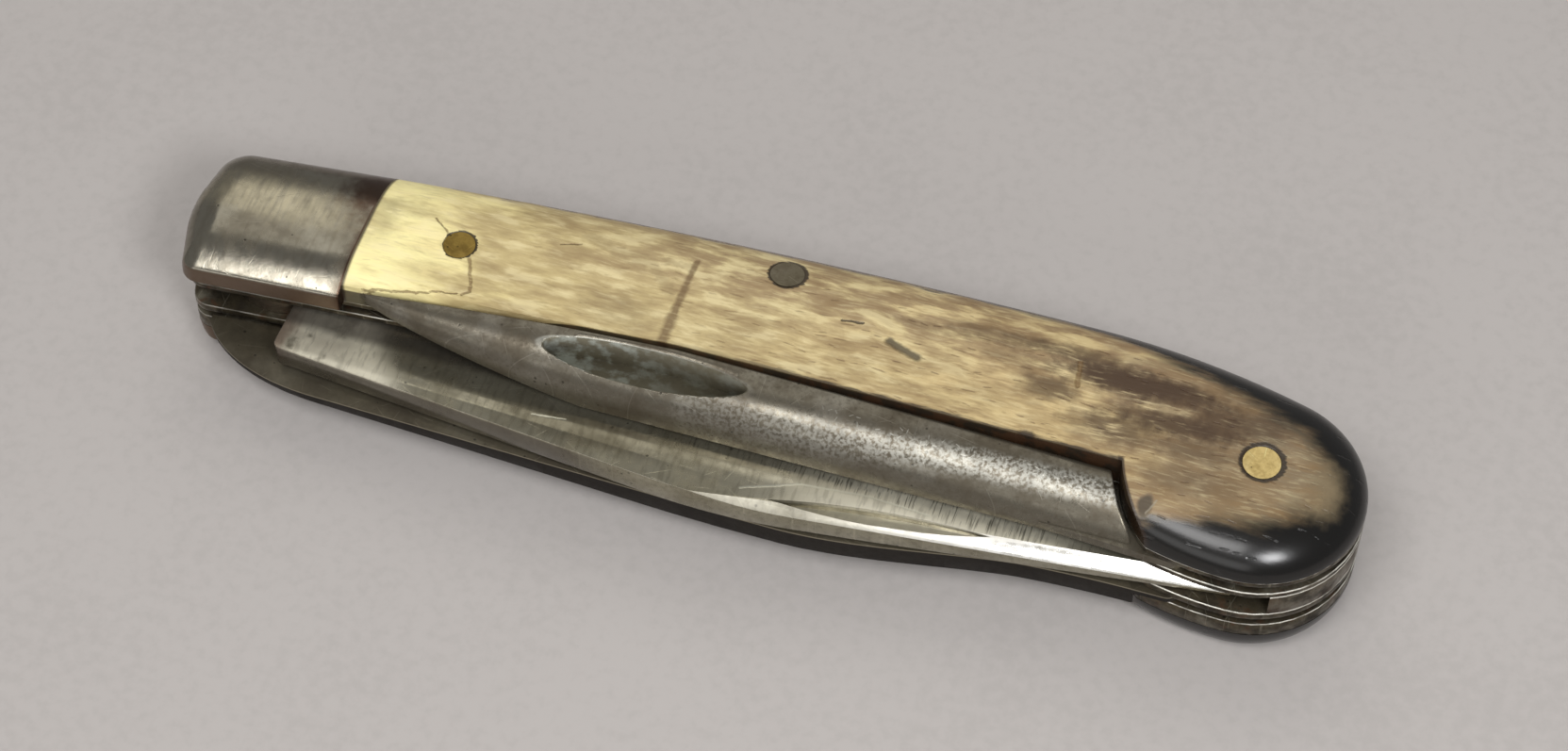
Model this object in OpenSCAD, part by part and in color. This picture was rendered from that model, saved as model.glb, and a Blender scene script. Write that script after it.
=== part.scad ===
// Three-tool pocket knife, lying on its back scale.
// X runs from the bolster to the butt, +Y is the back (spring side), the tools fold out of the -Y side.
// The origin lies halfway between the two pivot pins, on the flat that the knife rests on.

/* [Handle] */
// Distance between the bolster pin and the butt pin
pivot_span = 84.5; // [76:0.5:96]
// Length of the handle beyond the bolster pin
end_overhang = 8.05; // [7:0.05:9]
// Radius of the round butt
butt_r = 9; // [8.6:0.1:10]
// How far the centre of the round butt lies below the butt pin
butt_drop = 0.5; // [0:0.1:0.8]
// Height of the back's crest above the top of the round butt
back_rise = 2.15; // [2:0.05:3]
// Distance from the butt pin back to the crest of the back
crest_in = 16.25; // [14:0.25:24]
// Height of the back above the pins' line at the bolster end
back_end_y = 6.15; // [5.8:0.05:6.6]
// Distance of the tool cut-away from the pins' line
cut_y = 3.2; // [2.8:0.1:3.8]
// Distance of the handle's lower edge from the pins' line at the bolster end
cut_end_y = 6.4; // [5.8:0.1:6.8]
// Where the lower edge turns level
cut_bend_x = -6; // [-12:1:0]
// How far the step of the cut-away stands off the round butt
step_stand = 1.7; // [1.4:0.1:2.2]
// How far the butt's lower rim has climbed at the step
rim_rise = 0.9; // [0.5:0.1:1.3]

/* [Bolster] */
// Length of the bolster along the handle
bolster_len = 15.4; // [13:0.1:17]
// How far the bolster's end bows out beyond its corners
end_bow = 1.5; // [1:0.1:2]
// Corner radius on the back
end_back_r = 3; // [2:0.1:3.4]
// Corner radius on the tool side
end_cut_r = 1.6; // [1:0.1:2]
// Corner radius in the middle of the bowed end
end_mid_r = 12; // [8:1:14]
// How far the front bolster stands out beyond the liners on the tool side
low_out = 1; // [0.5:0.1:1.2]
// Width of the crown that slopes down to the tool side
low_crown = 4.5; // [3.5:0.1:4.8]
// Share of the bolster's thickness that stands upright at the tool side
low_wall = 0.55; // [0.4:0.05:0.7]
// Width of the rolled end
end_roll = 3.4; // [2.6:0.1:3.8]

/* [Layers] */
// Thickness of the front scale and bolster
front_scale_t = 3.2; // [2.8:0.05:4]
// Thickness of the back scale and bolster
back_scale_t = 3.4; // [3:0.05:4]
// Thickness of the front liner
front_liner_t = 0.55; // [0.4:0.05:0.9]
// Thickness of the back liner
back_liner_t = 1.6; // [1:0.05:1.8]
// Thickness of the thin liner in front of the main blade
inner_front_t = 0.6; // [0.4:0.05:0.9]
// Thickness of the thin liner behind the main blade
inner_back_t = 0.8; // [0.4:0.05:1]
// Width of the front tool's slot
front_slot_t = 1.0; // [0.9:0.05:1.4]
// Width of the back tool's slot
back_slot_t = 0.8; // [0.7:0.05:1.2]
// Width of the main blade's slot
main_slot_t = 2.5; // [2:0.05:3]
// Play on each face of a tool
side_play = 0.05; // [0.03:0.01:0.08]
// Width of the rolled edge round the front scale
front_roll = 6; // [5:0.1:6.5]
// Width of the rolled edge round the back scale
back_roll = 2.2; // [1.8:0.1:3]
// Length over which the scale's lower edge changes from rolled to square
roll_fade = 15; // [10:0.5:20]

/* [Pins] */
// Radius of the brass butt pin
butt_pin_r = 1.55; // [1.3:0.05:1.8]
// Radius of the hidden bolster pin
bolster_pin_r = 1.5; // [1.3:0.05:1.8]
// Radius of the steel spring pin
spring_pin_r = 1.45; // [1.2:0.05:1.6]
// Place of the spring pin along the handle
spring_pin_x = 0.3; // [-3:0.1:3]
// Distance of the spring pin from the back's edge
spring_pin_in = 3.55; // [3.3:0.05:3.8]
// Radius of the brass scale rivets
rivet_r = 1.35; // [1.1:0.05:1.5]
// Distance from the bolster pin to the scale rivets
rivet_in = 15.55; // [12:0.05:20]
// Height of the scale rivets above the pins' line
rivet_y = 1; // [0.5:0.1:2]
// Radius of the hidden bolster studs
stud_r = 0.6; // [0.5:0.05:0.8]
// Clearance round every pin
pin_fit = 0.03; // [0.02:0.01:0.08]

/* [Tangs and springs] */
// Radius of the round tangs
tang_r = 5.2; // [4.8:0.1:5.5]
// Running gap between a tang and its spring
tang_gap = 0.12; // [0.1:0.01:0.2]
// Radius of the spring's boss round the spring pin
boss_r = 3.2; // [2.6:0.1:3.5]
// Radius of a spring's eye round its fixed pin
eye_r = 5; // [4.4:0.1:5.4]
// How far a spring reaches past the tang's centre
spring_reach = 2.1; // [1.6:0.1:2.2]

/* [Main blade] */
// Distance from the bolster pin to the square shoulder
shoulder_x = 2.55; // [2.5:0.05:3]
// Distance of the spine from the pins' line at the shoulder
spine_heel_y = 9.9; // [9:0.1:11]
// Distance of the hump from the pins' line
hump_y = 13.5; // [12.5:0.1:14.5]
// Radius of the hump
hump_r = 60; // [30:5:80]
// Place of the hump along the handle
hump_x = 0.5; // [-4:0.5:5]
// How far the closed blade's point lies beyond the butt pin
point_over = 0.7; // [-4:0.1:1.1]
// Distance of the point from the pins' line
point_y = 8.4; // [7.8:0.1:9]
// Height of the cutting edge above the pins' line, inside the slot
edge_y = 2.2; // [1:0.1:2.6]
// Radius of the curve from the edge down to the point
belly_r = 22; // [14:1:30]
// Length of that curve's chord along the blade
belly_len = 14; // [12:0.5:18]
// Thickness left at the cutting edge
edge_t = 0.3; // [0.2:0.05:0.6]
// Thickness left at the point
point_t = 1.0; // [0.6:0.1:1.6]
// Width of the bevel along the front half of the spine
swedge_w = 1.1; // [0.6:0.1:1.4]
// Length of the thumbnail groove
pull_len = 18.5; // [14:0.5:20]
// Width of the thumbnail groove
pull_w = 1.2; // [1:0.1:1.6]
// Distance of the thumbnail groove's middle from the hump
pull_x = 13; // [10:0.5:16]
// Height of the thumbnail groove above the spine
pull_y = 1; // [0.9:0.05:1.5]
// Depth of the thumbnail groove
pull_depth = 0.5; // [0.3:0.1:0.8]

/* [Front spike] */
// Distance of the spike's outer edge from the pins' line
spike_edge_y = 8.45; // [8.2:0.05:8.9]
// Distance from the butt pin to the spike's tip
spike_reach = 74.9; // [68:0.1:75.5]
// Where the spike's nose starts to narrow, from the butt pin
spike_nose = 55.2; // [50:0.1:60]
// Greatest height of the spike above its inner face
spike_h = 4.5; // [4.2:0.05:4.55]
// How far the spike's top has sunk at its tip
spike_tip_fall = 0.9; // [0.6:0.1:1.4]
// How far the spike's top has sunk at the step
spike_end_fall = 0.8; // [0.2:0.1:1.2]
// Radius of the spike's upper edge at the step
spike_ease = 0.6; // [0.3:0.1:0.9]
// Width of the spike's rolled edge
spike_roll = 5.1; // [4.2:0.1:5.2]
// Thickness left at the spike's tip
spike_tip_t = 0.7; // [0.5:0.1:1.2]
// Gap between a tool and the cut-away
tool_gap = 0.25; // [0.2:0.05:0.5]
// Gap between a tool's end and the step
step_gap = 0.7; // [0.5:0.1:1]
// Length of the oval nail nick
nick_len = 17.4; // [14:0.2:20]
// Width of the oval nail nick
nick_w = 3.1; // [2.4:0.1:3.4]
// Distance of the nail nick's middle from the spike's tip
nick_x = 24.6; // [22:0.2:30]

/* [Back blade] */
// Greatest distance of the back blade's edge from the pins' line
sheep_edge_y = 12.5; // [11.8:0.05:13.2]
// Distance of the back blade's edge from the pins' line behind its round end
sheep_nose_y = 11.7; // [11:0.05:12.3]
// Distance from the butt pin to the back blade's round end
sheep_reach = 89.3; // [84:0.1:90]
// Length of the back blade's round end
sheep_nose = 12.5; // [10:0.5:15]
// Thickness of the back blade's outer edge below its slot
sheep_rim_t = 0.9; // [0.5:0.1:1.3]
// Share of its height that the back blade loses towards its round end
sheep_taper = 0.55; // [0.3:0.05:0.6]
// Lift of the back blade off the plane that the knife rests on
sheep_lift = 0.4; // [0.3:0.1:0.8]

/* [Hidden] */
$fn = 64;
eps = 0.01;
far = 200;

bone = [0.80, 0.72, 0.52];
nickel = [0.66, 0.66, 0.65];
brass = [0.72, 0.58, 0.28];
steel = [0.55, 0.56, 0.54];
dark_steel = [0.36, 0.36, 0.36];

// Heights of the layers, from the flat that the knife rests on
z_back_liner = back_scale_t;
z_back_slot = z_back_liner + back_liner_t;
z_inner_back = z_back_slot + back_slot_t;
z_main_slot = z_inner_back + inner_back_t;
z_inner_front = z_main_slot + main_slot_t;
z_front_slot = z_inner_front + inner_front_t;
z_front_liner = z_front_slot + front_slot_t;
z_front_scale = z_front_liner + front_liner_t;
z_top = z_front_scale + front_scale_t;

// Pivots and the handle's contour
butt_x = pivot_span / 2;
bolster_x = -pivot_span / 2;
crest_x = butt_x - crest_in;
rivet_x = bolster_x + rivet_in;
end_x = bolster_x - end_overhang;
seam_x = end_x + bolster_len;
crest_y = butt_r - butt_drop + back_rise;
crest_to_butt = butt_x - crest_x;
crest_over_butt = crest_y + butt_drop;
crest_to_end = crest_x - end_x;
crest_over_end = crest_y - back_end_y;
// The long arc of the back runs from the bolster end to the crest, the short one from there into the butt
long_r = (crest_to_end * crest_to_end + crest_over_end * crest_over_end) / (2 * crest_over_end);
short_r = (crest_to_butt * crest_to_butt + crest_over_butt * crest_over_butt - butt_r * butt_r)
    / (2 * (crest_over_butt - butt_r));
join_a = atan2(short_r - crest_over_butt, crest_to_butt);
step_r = butt_r + butt_drop + step_stand;
step_top_x = butt_x - sqrt(step_r * step_r - cut_y * cut_y);
cut_slope = (cut_end_y - cut_y) / (cut_bend_x - end_x);
spring_y = tang_r + tang_gap;
roll_steps = 8;
step_land = 0.4;

// Height of the back at x when it is drawn in by d
function back_at(x, d) = let(r = x < crest_x ? long_r : short_r)
    crest_y - r + sqrt((r - d) * (r - d) - (x - crest_x) * (x - crest_x));
function back_y(x) = back_at(x, 0);
function cut_line(x) = -cut_y - cut_slope * max(0, cut_bend_x - x);
function arc(c, r, a, b, n) = [for (i = [0:n]) c + r * [cos(a + (b - a) * i / n), sin(a + (b - a) * i / n)]];
function at_z(points, z) = [for (p = points) [p.x, p.y, z]];
// Share of the roll's width and height at step k of the rolled edge
function roll_in(k) = 1 - cos(90 * k / roll_steps);
function roll_up(k) = sin(90 * k / roll_steps);
// Share of the crown's width at step k: nothing along the upright wall, then a parabola up to the flat
function crown_in(k) = 1 - sqrt(1 - max(0, (roll_up(k) - low_wall) / (1 - low_wall)));
// Height of a rolled scale at a distance in from its edge
function roll_height(d, w) = sqrt(1 - pow(1 - min(d, w) / w, 2));
function roll_slope(d, w, t) = let(u = 1 - min(d, w) / w) atan(t * u / sqrt(1 - u * u) / w);

// A corner of radius r between two straight edges
function corner(p, q, s, r, n) =
    let(u = (p - q) / norm(p - q), v = (s - q) / norm(s - q), half = acos(u * v) / 2)
    r <= 0 ? [q] :
    let(c = q + (u + v) / norm(u + v) * r / sin(half),
        a = q + u * r / tan(half) - c,
        b = q + v * r / tan(half) - c,
        start = atan2(a.y, a.x),
        turn = (atan2(b.y, b.x) - start + 540) % 360 - 180)
    arc(c, r, start, start + turn, n);
// A polygon of [x, y, radius] corners
function rounded(corners, n) = let(m = len(corners))
    [for (i = [0:m - 1])
        let(p = corners[(i + m - 1) % m], q = corners[i], s = corners[(i + 1) % m])
        each corner([p.x, p.y], [q.x, q.y], [s.x, s.y], q[2], n)];

// Stations along the straight part of the cut-away, with its fade and its bend among them
straight_x = concat(
    [for (i = [0:9]) seam_x + roll_fade * i / 10],
    [for (i = [0:1]) seam_x + roll_fade + (cut_bend_x - seam_x - roll_fade) * i / 2],
    [for (i = [0:5]) cut_bend_x + (crest_x - cut_bend_x) * i / 5]);
rim_steps = 6;
butt_steps = 12;
across_steps = 2 * rim_steps + 1;

// Lower side of a scale drawn in by a share of the roll's width w: cut-away, step, rim and butt.
// At the seam the edge is crowned as the bolster is, which stands out below it, and turns square along the fade.
// The step stays upright, so its foot climbs it as the rim and the butt move in.
function lower_chain(share, crown, w, out) =
    let(d = share * w,
        rim_y = -butt_r - butt_drop + rim_rise,
        low_y = rim_y + share * (-cut_y - step_land - rim_y),
        low_x = butt_x - sqrt(step_r * step_r - low_y * low_y),
        foot_y = -butt_drop - butt_r + d,
        a_top = 180 + asin(cut_y / step_r),
        a_low = 180 + asin(-low_y / step_r))
    concat(
        [for (x = straight_x) let(u = max(0, 1 - (x - seam_x) / roll_fade))
            [x, cut_line(x) + max(0, crown * low_crown - out) * u * u]],
        arc([butt_x, 0], step_r, a_top, a_low, rim_steps),
        [for (i = [1:rim_steps]) let(u = 1 - i / rim_steps)
            [butt_x + (low_x - butt_x) * u, foot_y + (low_y - foot_y) * u * u]],
        arc([butt_x, -butt_drop], butt_r - d, -90 + 90 / butt_steps, -90 / butt_steps, butt_steps - 2));

// Upper side of a scale at the same stations: the long arc, the short arc and the butt
function upper_chain(share, w) =
    let(d = share * w,
        a_top = acos((step_top_x - crest_x) / (short_r - d)))
    concat(
        [for (x = straight_x) [x, back_at(x, d)]],
        arc([crest_x, crest_y - short_r], short_r - d, a_top, join_a, across_steps - 1),
        arc([butt_x, -butt_drop], butt_r - d, join_a * (1 - 1 / butt_steps), join_a / butt_steps, butt_steps - 2));

function scale_contour(share, crown, w, out) =
    let(low = lower_chain(share, crown, w, out), high = upper_chain(share, w), m = len(low))
    concat(low, [[butt_x + butt_r - share * w, -butt_drop]], [for (i = [m - 1:-1:0]) high[i]]);

low_share = 0.8;
corner_loss = 0.85;
bow_loss = 0.6;
// Contour of the bolster, its corners drawn in along straight lines by a share of each edge's own roll.
// Its tool side stands out beyond the cut-away by "out".
function bolster_contour(share, crown, w, out) =
    let(low = crown * low_crown - out,
        end = share * end_roll,
        bow = end_bow * (1 - share * bow_loss),
        low_x = end_x + bow + end * low_share,
        low_y = cut_line(low_x) + low,
        high_x = end_x + bow / 2 + end,
        high_y = back_at(high_x, share * w),
        ease = 1 - share * corner_loss)
    rounded([
        [seam_x, cut_line(seam_x) + low, 0],
        [seam_x, back_at(seam_x, share * w), 0],
        [high_x, high_y, end_back_r * ease],
        [end_x - bow / 3 + end, (low_y + high_y) / 2, end_mid_r * ease * ease],
        [low_x, low_y, end_cut_r * ease]], 6);

// End of a convex ring as one face, and of a two-sided ring as a strip from side to side
function fan(n) = [[for (i = [0:n - 1]) i]];
function strip(n) = let(m = (n - 1) / 2)
    concat(
        [for (k = [0:m - 2]) each [[k, k + 1, 2 * m - k - 1], [k, 2 * m - k - 1, 2 * m - k]]],
        [[m - 1, m, m + 1]]);
// Skin over rings of equal length, each counter-clockwise as seen from the last one
module skin(rings, ends) {
    n = len(rings[0]);
    m = len(rings);
    polyhedron(
        [for (r = rings) each r],
        concat(
            ends,
            [for (e = ends) [for (i = [len(e) - 1:-1:0]) (m - 1) * n + e[i]]],
            [for (j = [0:m - 2]) for (i = [0:n - 1])
                each [[j * n + i, (j + 1) * n + i, (j + 1) * n + (i + 1) % n],
                    [j * n + i, (j + 1) * n + (i + 1) % n, j * n + (i + 1) % n]]]));
}

module handle_outline() {
    polygon(scale_contour(0, 0, front_roll, 0));
    polygon(bolster_contour(0, 0, front_roll, 0));
}

module bore(x, y, r) {
    translate([x, y, -far / 2])
        cylinder(r = r + pin_fit, h = far);
}

module pin_bores() {
    bore(bolster_x, 0, bolster_pin_r);
    bore(butt_x, 0, butt_pin_r);
    bore(spring_pin_x, spring_pin_y, spring_pin_r);
}

module stud_bores() {
    for (p = stud_places) bore(p.x, p.y, stud_r);
}

spring_pin_y = back_y(spring_pin_x) - spring_pin_in;
// Two studs on either side of the bolster pin
stud_left_x = 3.6;
stud_left_y = 2.6;
stud_right_x = 4;
stud_right_y = 2.2;
stud_places = [[bolster_x - stud_left_x, stud_left_y], [bolster_x + stud_right_x, -stud_right_y]];
stud_depth = 0.6;

// A blank of one cheek, its flat side at z = 0 and its rolled side up
module scale_blank(t, w, out) {
    rings = [for (k = [0:roll_steps]) at_z(scale_contour(roll_in(k), crown_in(k), w, out), t * roll_up(k))];
    skin(rings, strip(len(rings[0])));
}

module bolster_blank(t, w, out) {
    rings = [for (k = [0:roll_steps]) at_z(bolster_contour(roll_in(k), crown_in(k), w, out), t * roll_up(k))];
    skin(rings, fan(len(rings[0])));
}

module scale_side(t, w, out) {
    difference() {
        scale_blank(t, w, out);
        bore(butt_x, 0, butt_pin_r);
        bore(spring_pin_x, spring_pin_y, spring_pin_r);
        bore(rivet_x, rivet_y, rivet_r);
    }
}

module bolster_side(t, w, out) {
    difference() {
        bolster_blank(t, w, out);
        bore(bolster_x, 0, bolster_pin_r);
        for (p = stud_places)
            translate([p.x, p.y, -eps])
                cylinder(r = stud_r + pin_fit, h = t * stud_depth + eps);
    }
}

module liner(z, t, outer) {
    translate([0, 0, z])
        difference() {
            linear_extrude(t)
                handle_outline();
            pin_bores();
            if (outer) bore(rivet_x, rivet_y, rivet_r);
            if (outer) stud_bores();
        }
}

// Plan of a spring: a block round the eye at its fixed end, and a bar along the back as far as tip_x
module spring_plan(eye, tip_x) {
    intersection() {
        handle_outline();
        union() {
            translate([min(eye.x, tip_x), spring_y])
                square([abs(tip_x - eye.x), far]);
            translate([spring_pin_x, spring_pin_y])
                circle(boss_r);
            translate(eye)
                circle(eye_r);
            translate(eye + [tip_x > eye.x ? -far : 0, 0])
                square(far);
        }
    }
}

module spring(z, t, eye, tip_x) {
    translate([0, 0, z])
        difference() {
            linear_extrude(t)
                union() {
                    spring_plan(eye, tip_x);
                    children();
                }
            pin_bores();
        }
}

module main_spring() {
    color(steel)
        spring(z_main_slot, main_slot_t, [butt_x, 0], bolster_x - spring_reach)
            // The butt end runs on round the butt and stops short of the blade's point
            intersection() {
                handle_outline();
                translate([point_x + point_room, -far])
                    square(far);
            }
}

module front_spring() {
    color(steel)
        spring(z_front_slot, front_slot_t, [bolster_x, 0], butt_x + spring_reach);
}

module back_spring() {
    color(steel)
        spring(z_back_slot, back_slot_t, [bolster_x, 0], butt_x + spring_reach);
}

module front_scale() {
    color(bone)
        translate([0, 0, z_front_scale])
            scale_side(front_scale_t, front_roll, low_out);
}

module back_scale() {
    color(bone)
        translate([0, 0, back_scale_t])
            mirror([0, 0, 1])
                scale_side(back_scale_t, back_roll, 0);
}

module front_bolster() {
    color(nickel)
        translate([0, 0, z_front_scale])
            bolster_side(front_scale_t, front_roll, low_out);
}

module back_bolster() {
    color(nickel)
        translate([0, 0, back_scale_t])
            mirror([0, 0, 1])
                bolster_side(back_scale_t, back_roll, 0);
}

module front_liner() {
    color(brass)
        liner(z_front_liner, front_liner_t, true);
}

module back_liner() {
    color(brass)
        liner(z_back_liner, back_liner_t, true);
}

module inner_front_liner() {
    color(brass)
        liner(z_inner_front, inner_front_t, false);
}

module inner_back_liner() {
    color(brass)
        liner(z_inner_back, inner_back_t, false);
}

// A leaf-shaped recess along X whose floor is deepest at its upper edge
module leaf_cut(len, w, depth) {
    r = (len * len / 4 + w * w / 4) / w;
    tilt = atan2(depth, w);
    intersection() {
        translate([0, r - w / 2, -far / 2])
            cylinder(r = r, h = far, $fn = 180);
        translate([0, w / 2 - r, -far / 2])
            cylinder(r = r, h = far, $fn = 180);
        translate([0, -w / 2, 0])
            rotate([-tilt, 0, 0])
                translate([-far / 2, -far / 2, 0])
                    cube(far);
    }
}

// A long oval recess along X whose floor falls towards its upper edge
module oval_cut(len, w, fall) {
    tilt = atan2(fall, w);
    intersection() {
        translate([0, 0, -far / 2])
            linear_extrude(far)
                polygon([for (i = [0:oval_steps - 1])
                    let(a = 360 * i / oval_steps)
                    [len / 2 * cos(a), w / 2 * sin(a)]]);
        translate([0, -w / 2, 0])
            rotate([-tilt, 0, 0])
                translate([-far / 2, -far / 2, 0])
                    cube(far);
    }
}
oval_steps = 40;

blade_z = z_main_slot + side_play;
blade_t = main_slot_t - 2 * side_play;
point_x = butt_x + point_over;
point_room = 2.6;
// The kick is the tang's low shoulder that keeps the edge off the spring
kick_room = 0.05;
kick_y = tang_r - kick_room;
kick_len = 9.5;
kick_slant = 1.6;
grind_land = 1;
taper_from = 12;
swedge_a = 35;
shoulder_corner = 0.5;
point_corner = 0.3;
kick_corner = 0.4;

module main_blade() {
    // Spine from the shoulder over the hump to the point, then back along the edge to the tang
    plan = rounded([
        [bolster_x + shoulder_x, -spine_heel_y, shoulder_corner],
        [hump_x, -hump_y, hump_r],
        [point_x, -point_y, point_corner],
        [point_x - belly_len, edge_y, belly_r],
        [bolster_x, edge_y, 0],
        [bolster_x, 0, 0],
        [bolster_x + shoulder_x, -shoulder_x, 0]], 8);
    // Flat grind from full thickness near the spine to the edge
    grind_y = grind_land - spine_heel_y;
    grind = [[-far, blade_t / 2], [grind_y, blade_t / 2], [edge_y, edge_t / 2],
        [edge_y, -edge_t / 2], [grind_y, -blade_t / 2], [-far, -blade_t / 2]];
    taper_x = hump_x + taper_from;
    taper = [[-far, -blade_t / 2], [taper_x, -blade_t / 2], [point_x, -point_t / 2],
        [point_x, point_t / 2], [taper_x, blade_t / 2], [-far, blade_t / 2]];
    kick = [[0, 0], [kick_len + kick_slant, 0], [kick_len + kick_slant, edge_y], [kick_len, kick_y], [0, kick_y]];
    spine_a = atan2(hump_y - point_y, point_x - hump_x);
    taper_a = atan2((blade_t - point_t) / 2, point_x - taper_x);
    color(steel)
        translate([0, 0, blade_z + blade_t / 2])
            difference() {
                union() {
                    intersection() {
                        translate([0, 0, -blade_t / 2])
                            linear_extrude(blade_t)
                                polygon(plan);
                        translate([-far / 2, 0, 0])
                            rotate([90, 0, 90])
                                linear_extrude(far)
                                    polygon(grind);
                        rotate([90, 0, 0])
                            translate([0, 0, -far / 2])
                                linear_extrude(far)
                                    polygon(taper);
                    }
                    translate([bolster_x, 0, -blade_t / 2])
                        linear_extrude(blade_t)
                            polygon(kick);
                    translate([bolster_x, 0, -blade_t / 2])
                        cylinder(r = tang_r, h = blade_t);
                }
                bore(bolster_x, 0, bolster_pin_r);
                translate([hump_x + pull_x, pull_x * tan(spine_a) - hump_y + pull_y, blade_t / 2 - pull_depth])
                    rotate([0, 0, spine_a])
                        leaf_cut(pull_len, pull_w, pull_depth + eps);
                // The swedge: the spine's upper edge is bevelled off from the hump to the point
                translate([hump_x, -hump_y, 0])
                    rotate([0, 0, spine_a])
                        translate([taper_from, swedge_w, blade_t / 2])
                            rotate([swedge_a, taper_a, 0])
                                translate([-far / 2, -far / 2, 0])
                                    cube(far);
            }
}

// Flat plate of a butt tool inside its slot: the tongue past the step, the kick and the round tang
module tang_plate(body_y, tongue_y, t) {
    plan = rounded([
        [butt_x - tongue_len, -body_y, 0],
        [butt_x - tongue_end, -tongue_y, tongue_r],
        [butt_x - tongue_end + tongue_lean, -tang_r / 2, 0],
        [butt_x, 0, 0],
        [butt_x, kick_y, 0],
        [butt_x - plate_kick, kick_y, kick_corner],
        [butt_x - kick_len, cut_y / 2, tongue_r],
        [butt_x - tongue_len, -cut_y - spike_ease - tool_gap, 0]], 5);
    linear_extrude(t)
        union() {
            polygon(plan);
            translate([butt_x, 0])
                circle(tang_r);
        }
}
tongue_len = 16;
tongue_end = 3.9;
tongue_r = 1.2;
tongue_lean = 0.6;
tongue_in = 0.45;
tongue_y = butt_r + butt_drop - tongue_in;
plate_kick = 6.8;

spike_x = butt_x - spike_reach;
spike_nose_x = butt_x - spike_nose;
spike_z = z_front_slot + side_play;
nick_y = 2.6;
nick_a = 1.5;
nick_depth = 1.7;
nick_slope = 1.2;
nose_land = 0.35;
// Powers that shape the two noses' outlines
spike_curve = [1.5, 0.75];
sheep_curve = [2.4, 0.7];
// Shares of a tool's breadth and height that its roll takes
roll_share = 0.92;
side_share = 0.8;

// Share of the way from the nose's start to its tip, and from there to the step
function nose_share(x, x_nose, x_tip) = max(0, (x_nose - x) / (x_nose - x_tip));
// Outer edge of the spike, straight along the handle and drawn in to a rounded tip
function spike_edge(x) =
    let(u = nose_share(x, spike_nose_x, spike_x),
        tip_y = cut_line(spike_x) - tool_gap - nose_land)
    tip_y + (-spike_edge_y - tip_y) * pow(max(0, 1 - pow(u, spike_curve[0])), spike_curve[1]);
// Section of the spike: flat inside, eased upper edge, broad roll down to the outer edge
function spike_section(x) =
    let(u = nose_share(x, spike_nose_x, spike_x),
        v = max(0, (x - spike_nose_x) / (step_top_x - spike_nose_x)),
        y_in = cut_line(x) - tool_gap,
        y_out = spike_edge(x),
        top = spike_h - spike_tip_fall * u * u - spike_end_fall * v * v,
        floor_z = (spike_h - spike_tip_fall - spike_tip_t) * u,
        ease = min(spike_ease * (1 + 4 * min(1, v)) / 5, (y_in - y_out) / 4),
        w = min(spike_roll, (y_in - y_out - ease) * roll_share),
        h = (top - floor_z) * side_share)
    concat(
        [[x, y_out, floor_z], [x, y_in, floor_z]],
        [for (k = [0:3]) [x, y_in - ease * (1 - cos(30 * k)), top - ease * (1 - sin(30 * k))]],
        [for (k = [roll_steps:-1:0]) [x, y_out + w * roll_in(k), top - h + h * roll_up(k)]]);

module front_spike() {
    stations = concat(
        [for (i = [0:14]) spike_x + (spike_nose_x - spike_x) * (1 - cos(90 * i / 14))],
        [for (i = [1:6]) spike_nose_x + (butt_x - spike_nose_x) * i / 6]);
    rings = [for (x = stations) spike_section(x)];
    color(dark_steel)
        translate([0, 0, spike_z])
            difference() {
                union() {
                    difference() {
                        skin(rings, fan(len(rings[0])));
                        translate([butt_x, 0, -eps])
                            cylinder(r = step_r + step_gap, h = far, $fn = 128);
                    }
                    tang_plate(spike_edge_y, tongue_y, front_slot_t - 2 * side_play);
                }
                bore(butt_x, 0, butt_pin_r);
                translate([spike_x + nick_x, -spike_edge_y + nick_y, spike_h - nick_depth])
                    rotate([0, 0, nick_a])
                        oval_cut(nick_len, nick_w, nick_slope);
            }
}

sheep_x = butt_x - sheep_reach;
sheep_nose_x = sheep_x + sheep_nose;
sheep_h = z_inner_back - side_play - sheep_lift;
sheep_waist_from = 4.5;
sheep_waist_x = [hump_x + sheep_waist_from, butt_x - step_r];
waist_out = 0.2;
sheep_waist_y = tongue_y + waist_out;

// Outer edge of the back blade: a round end, a slight belly, and a waist towards the tang
function sheep_edge(x) =
    let(u = nose_share(x, sheep_nose_x, sheep_x),
        tip_y = cut_line(sheep_x) - tool_gap - nose_land,
        b = max(0, min(1, (x - sheep_nose_x) / (hump_x - sheep_nose_x))),
        v = max(0, min(1, (x - sheep_waist_x[0]) / (sheep_waist_x[1] - sheep_waist_x[0]))),
        broad = sheep_nose_y + (sheep_edge_y - sheep_nose_y) * b
            - (sheep_edge_y - sheep_waist_y) * v * v * (3 - 2 * v))
    tip_y + (-broad - tip_y) * pow(max(0, 1 - pow(u, sheep_curve[0])), sheep_curve[1]);
function sheep_section(x) =
    let(u = nose_share(x, sheep_nose_x, sheep_x),
        y_in = cut_line(x) - tool_gap,
        y_out = sheep_edge(x),
        top = sheep_h * (1 - sheep_taper * u),
        rim = back_slot_t - 2 * side_play + sheep_rim_t * (1 - sheep_taper * u),
        w = (y_in - y_out) * roll_share)
    concat(
        [[x, y_out, 0], [x, y_in, 0], [x, y_in, top]],
        [for (k = [roll_steps:-1:0]) [x, y_out + w * roll_in(k), rim + (top - rim) * roll_up(k)]]);

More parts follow.
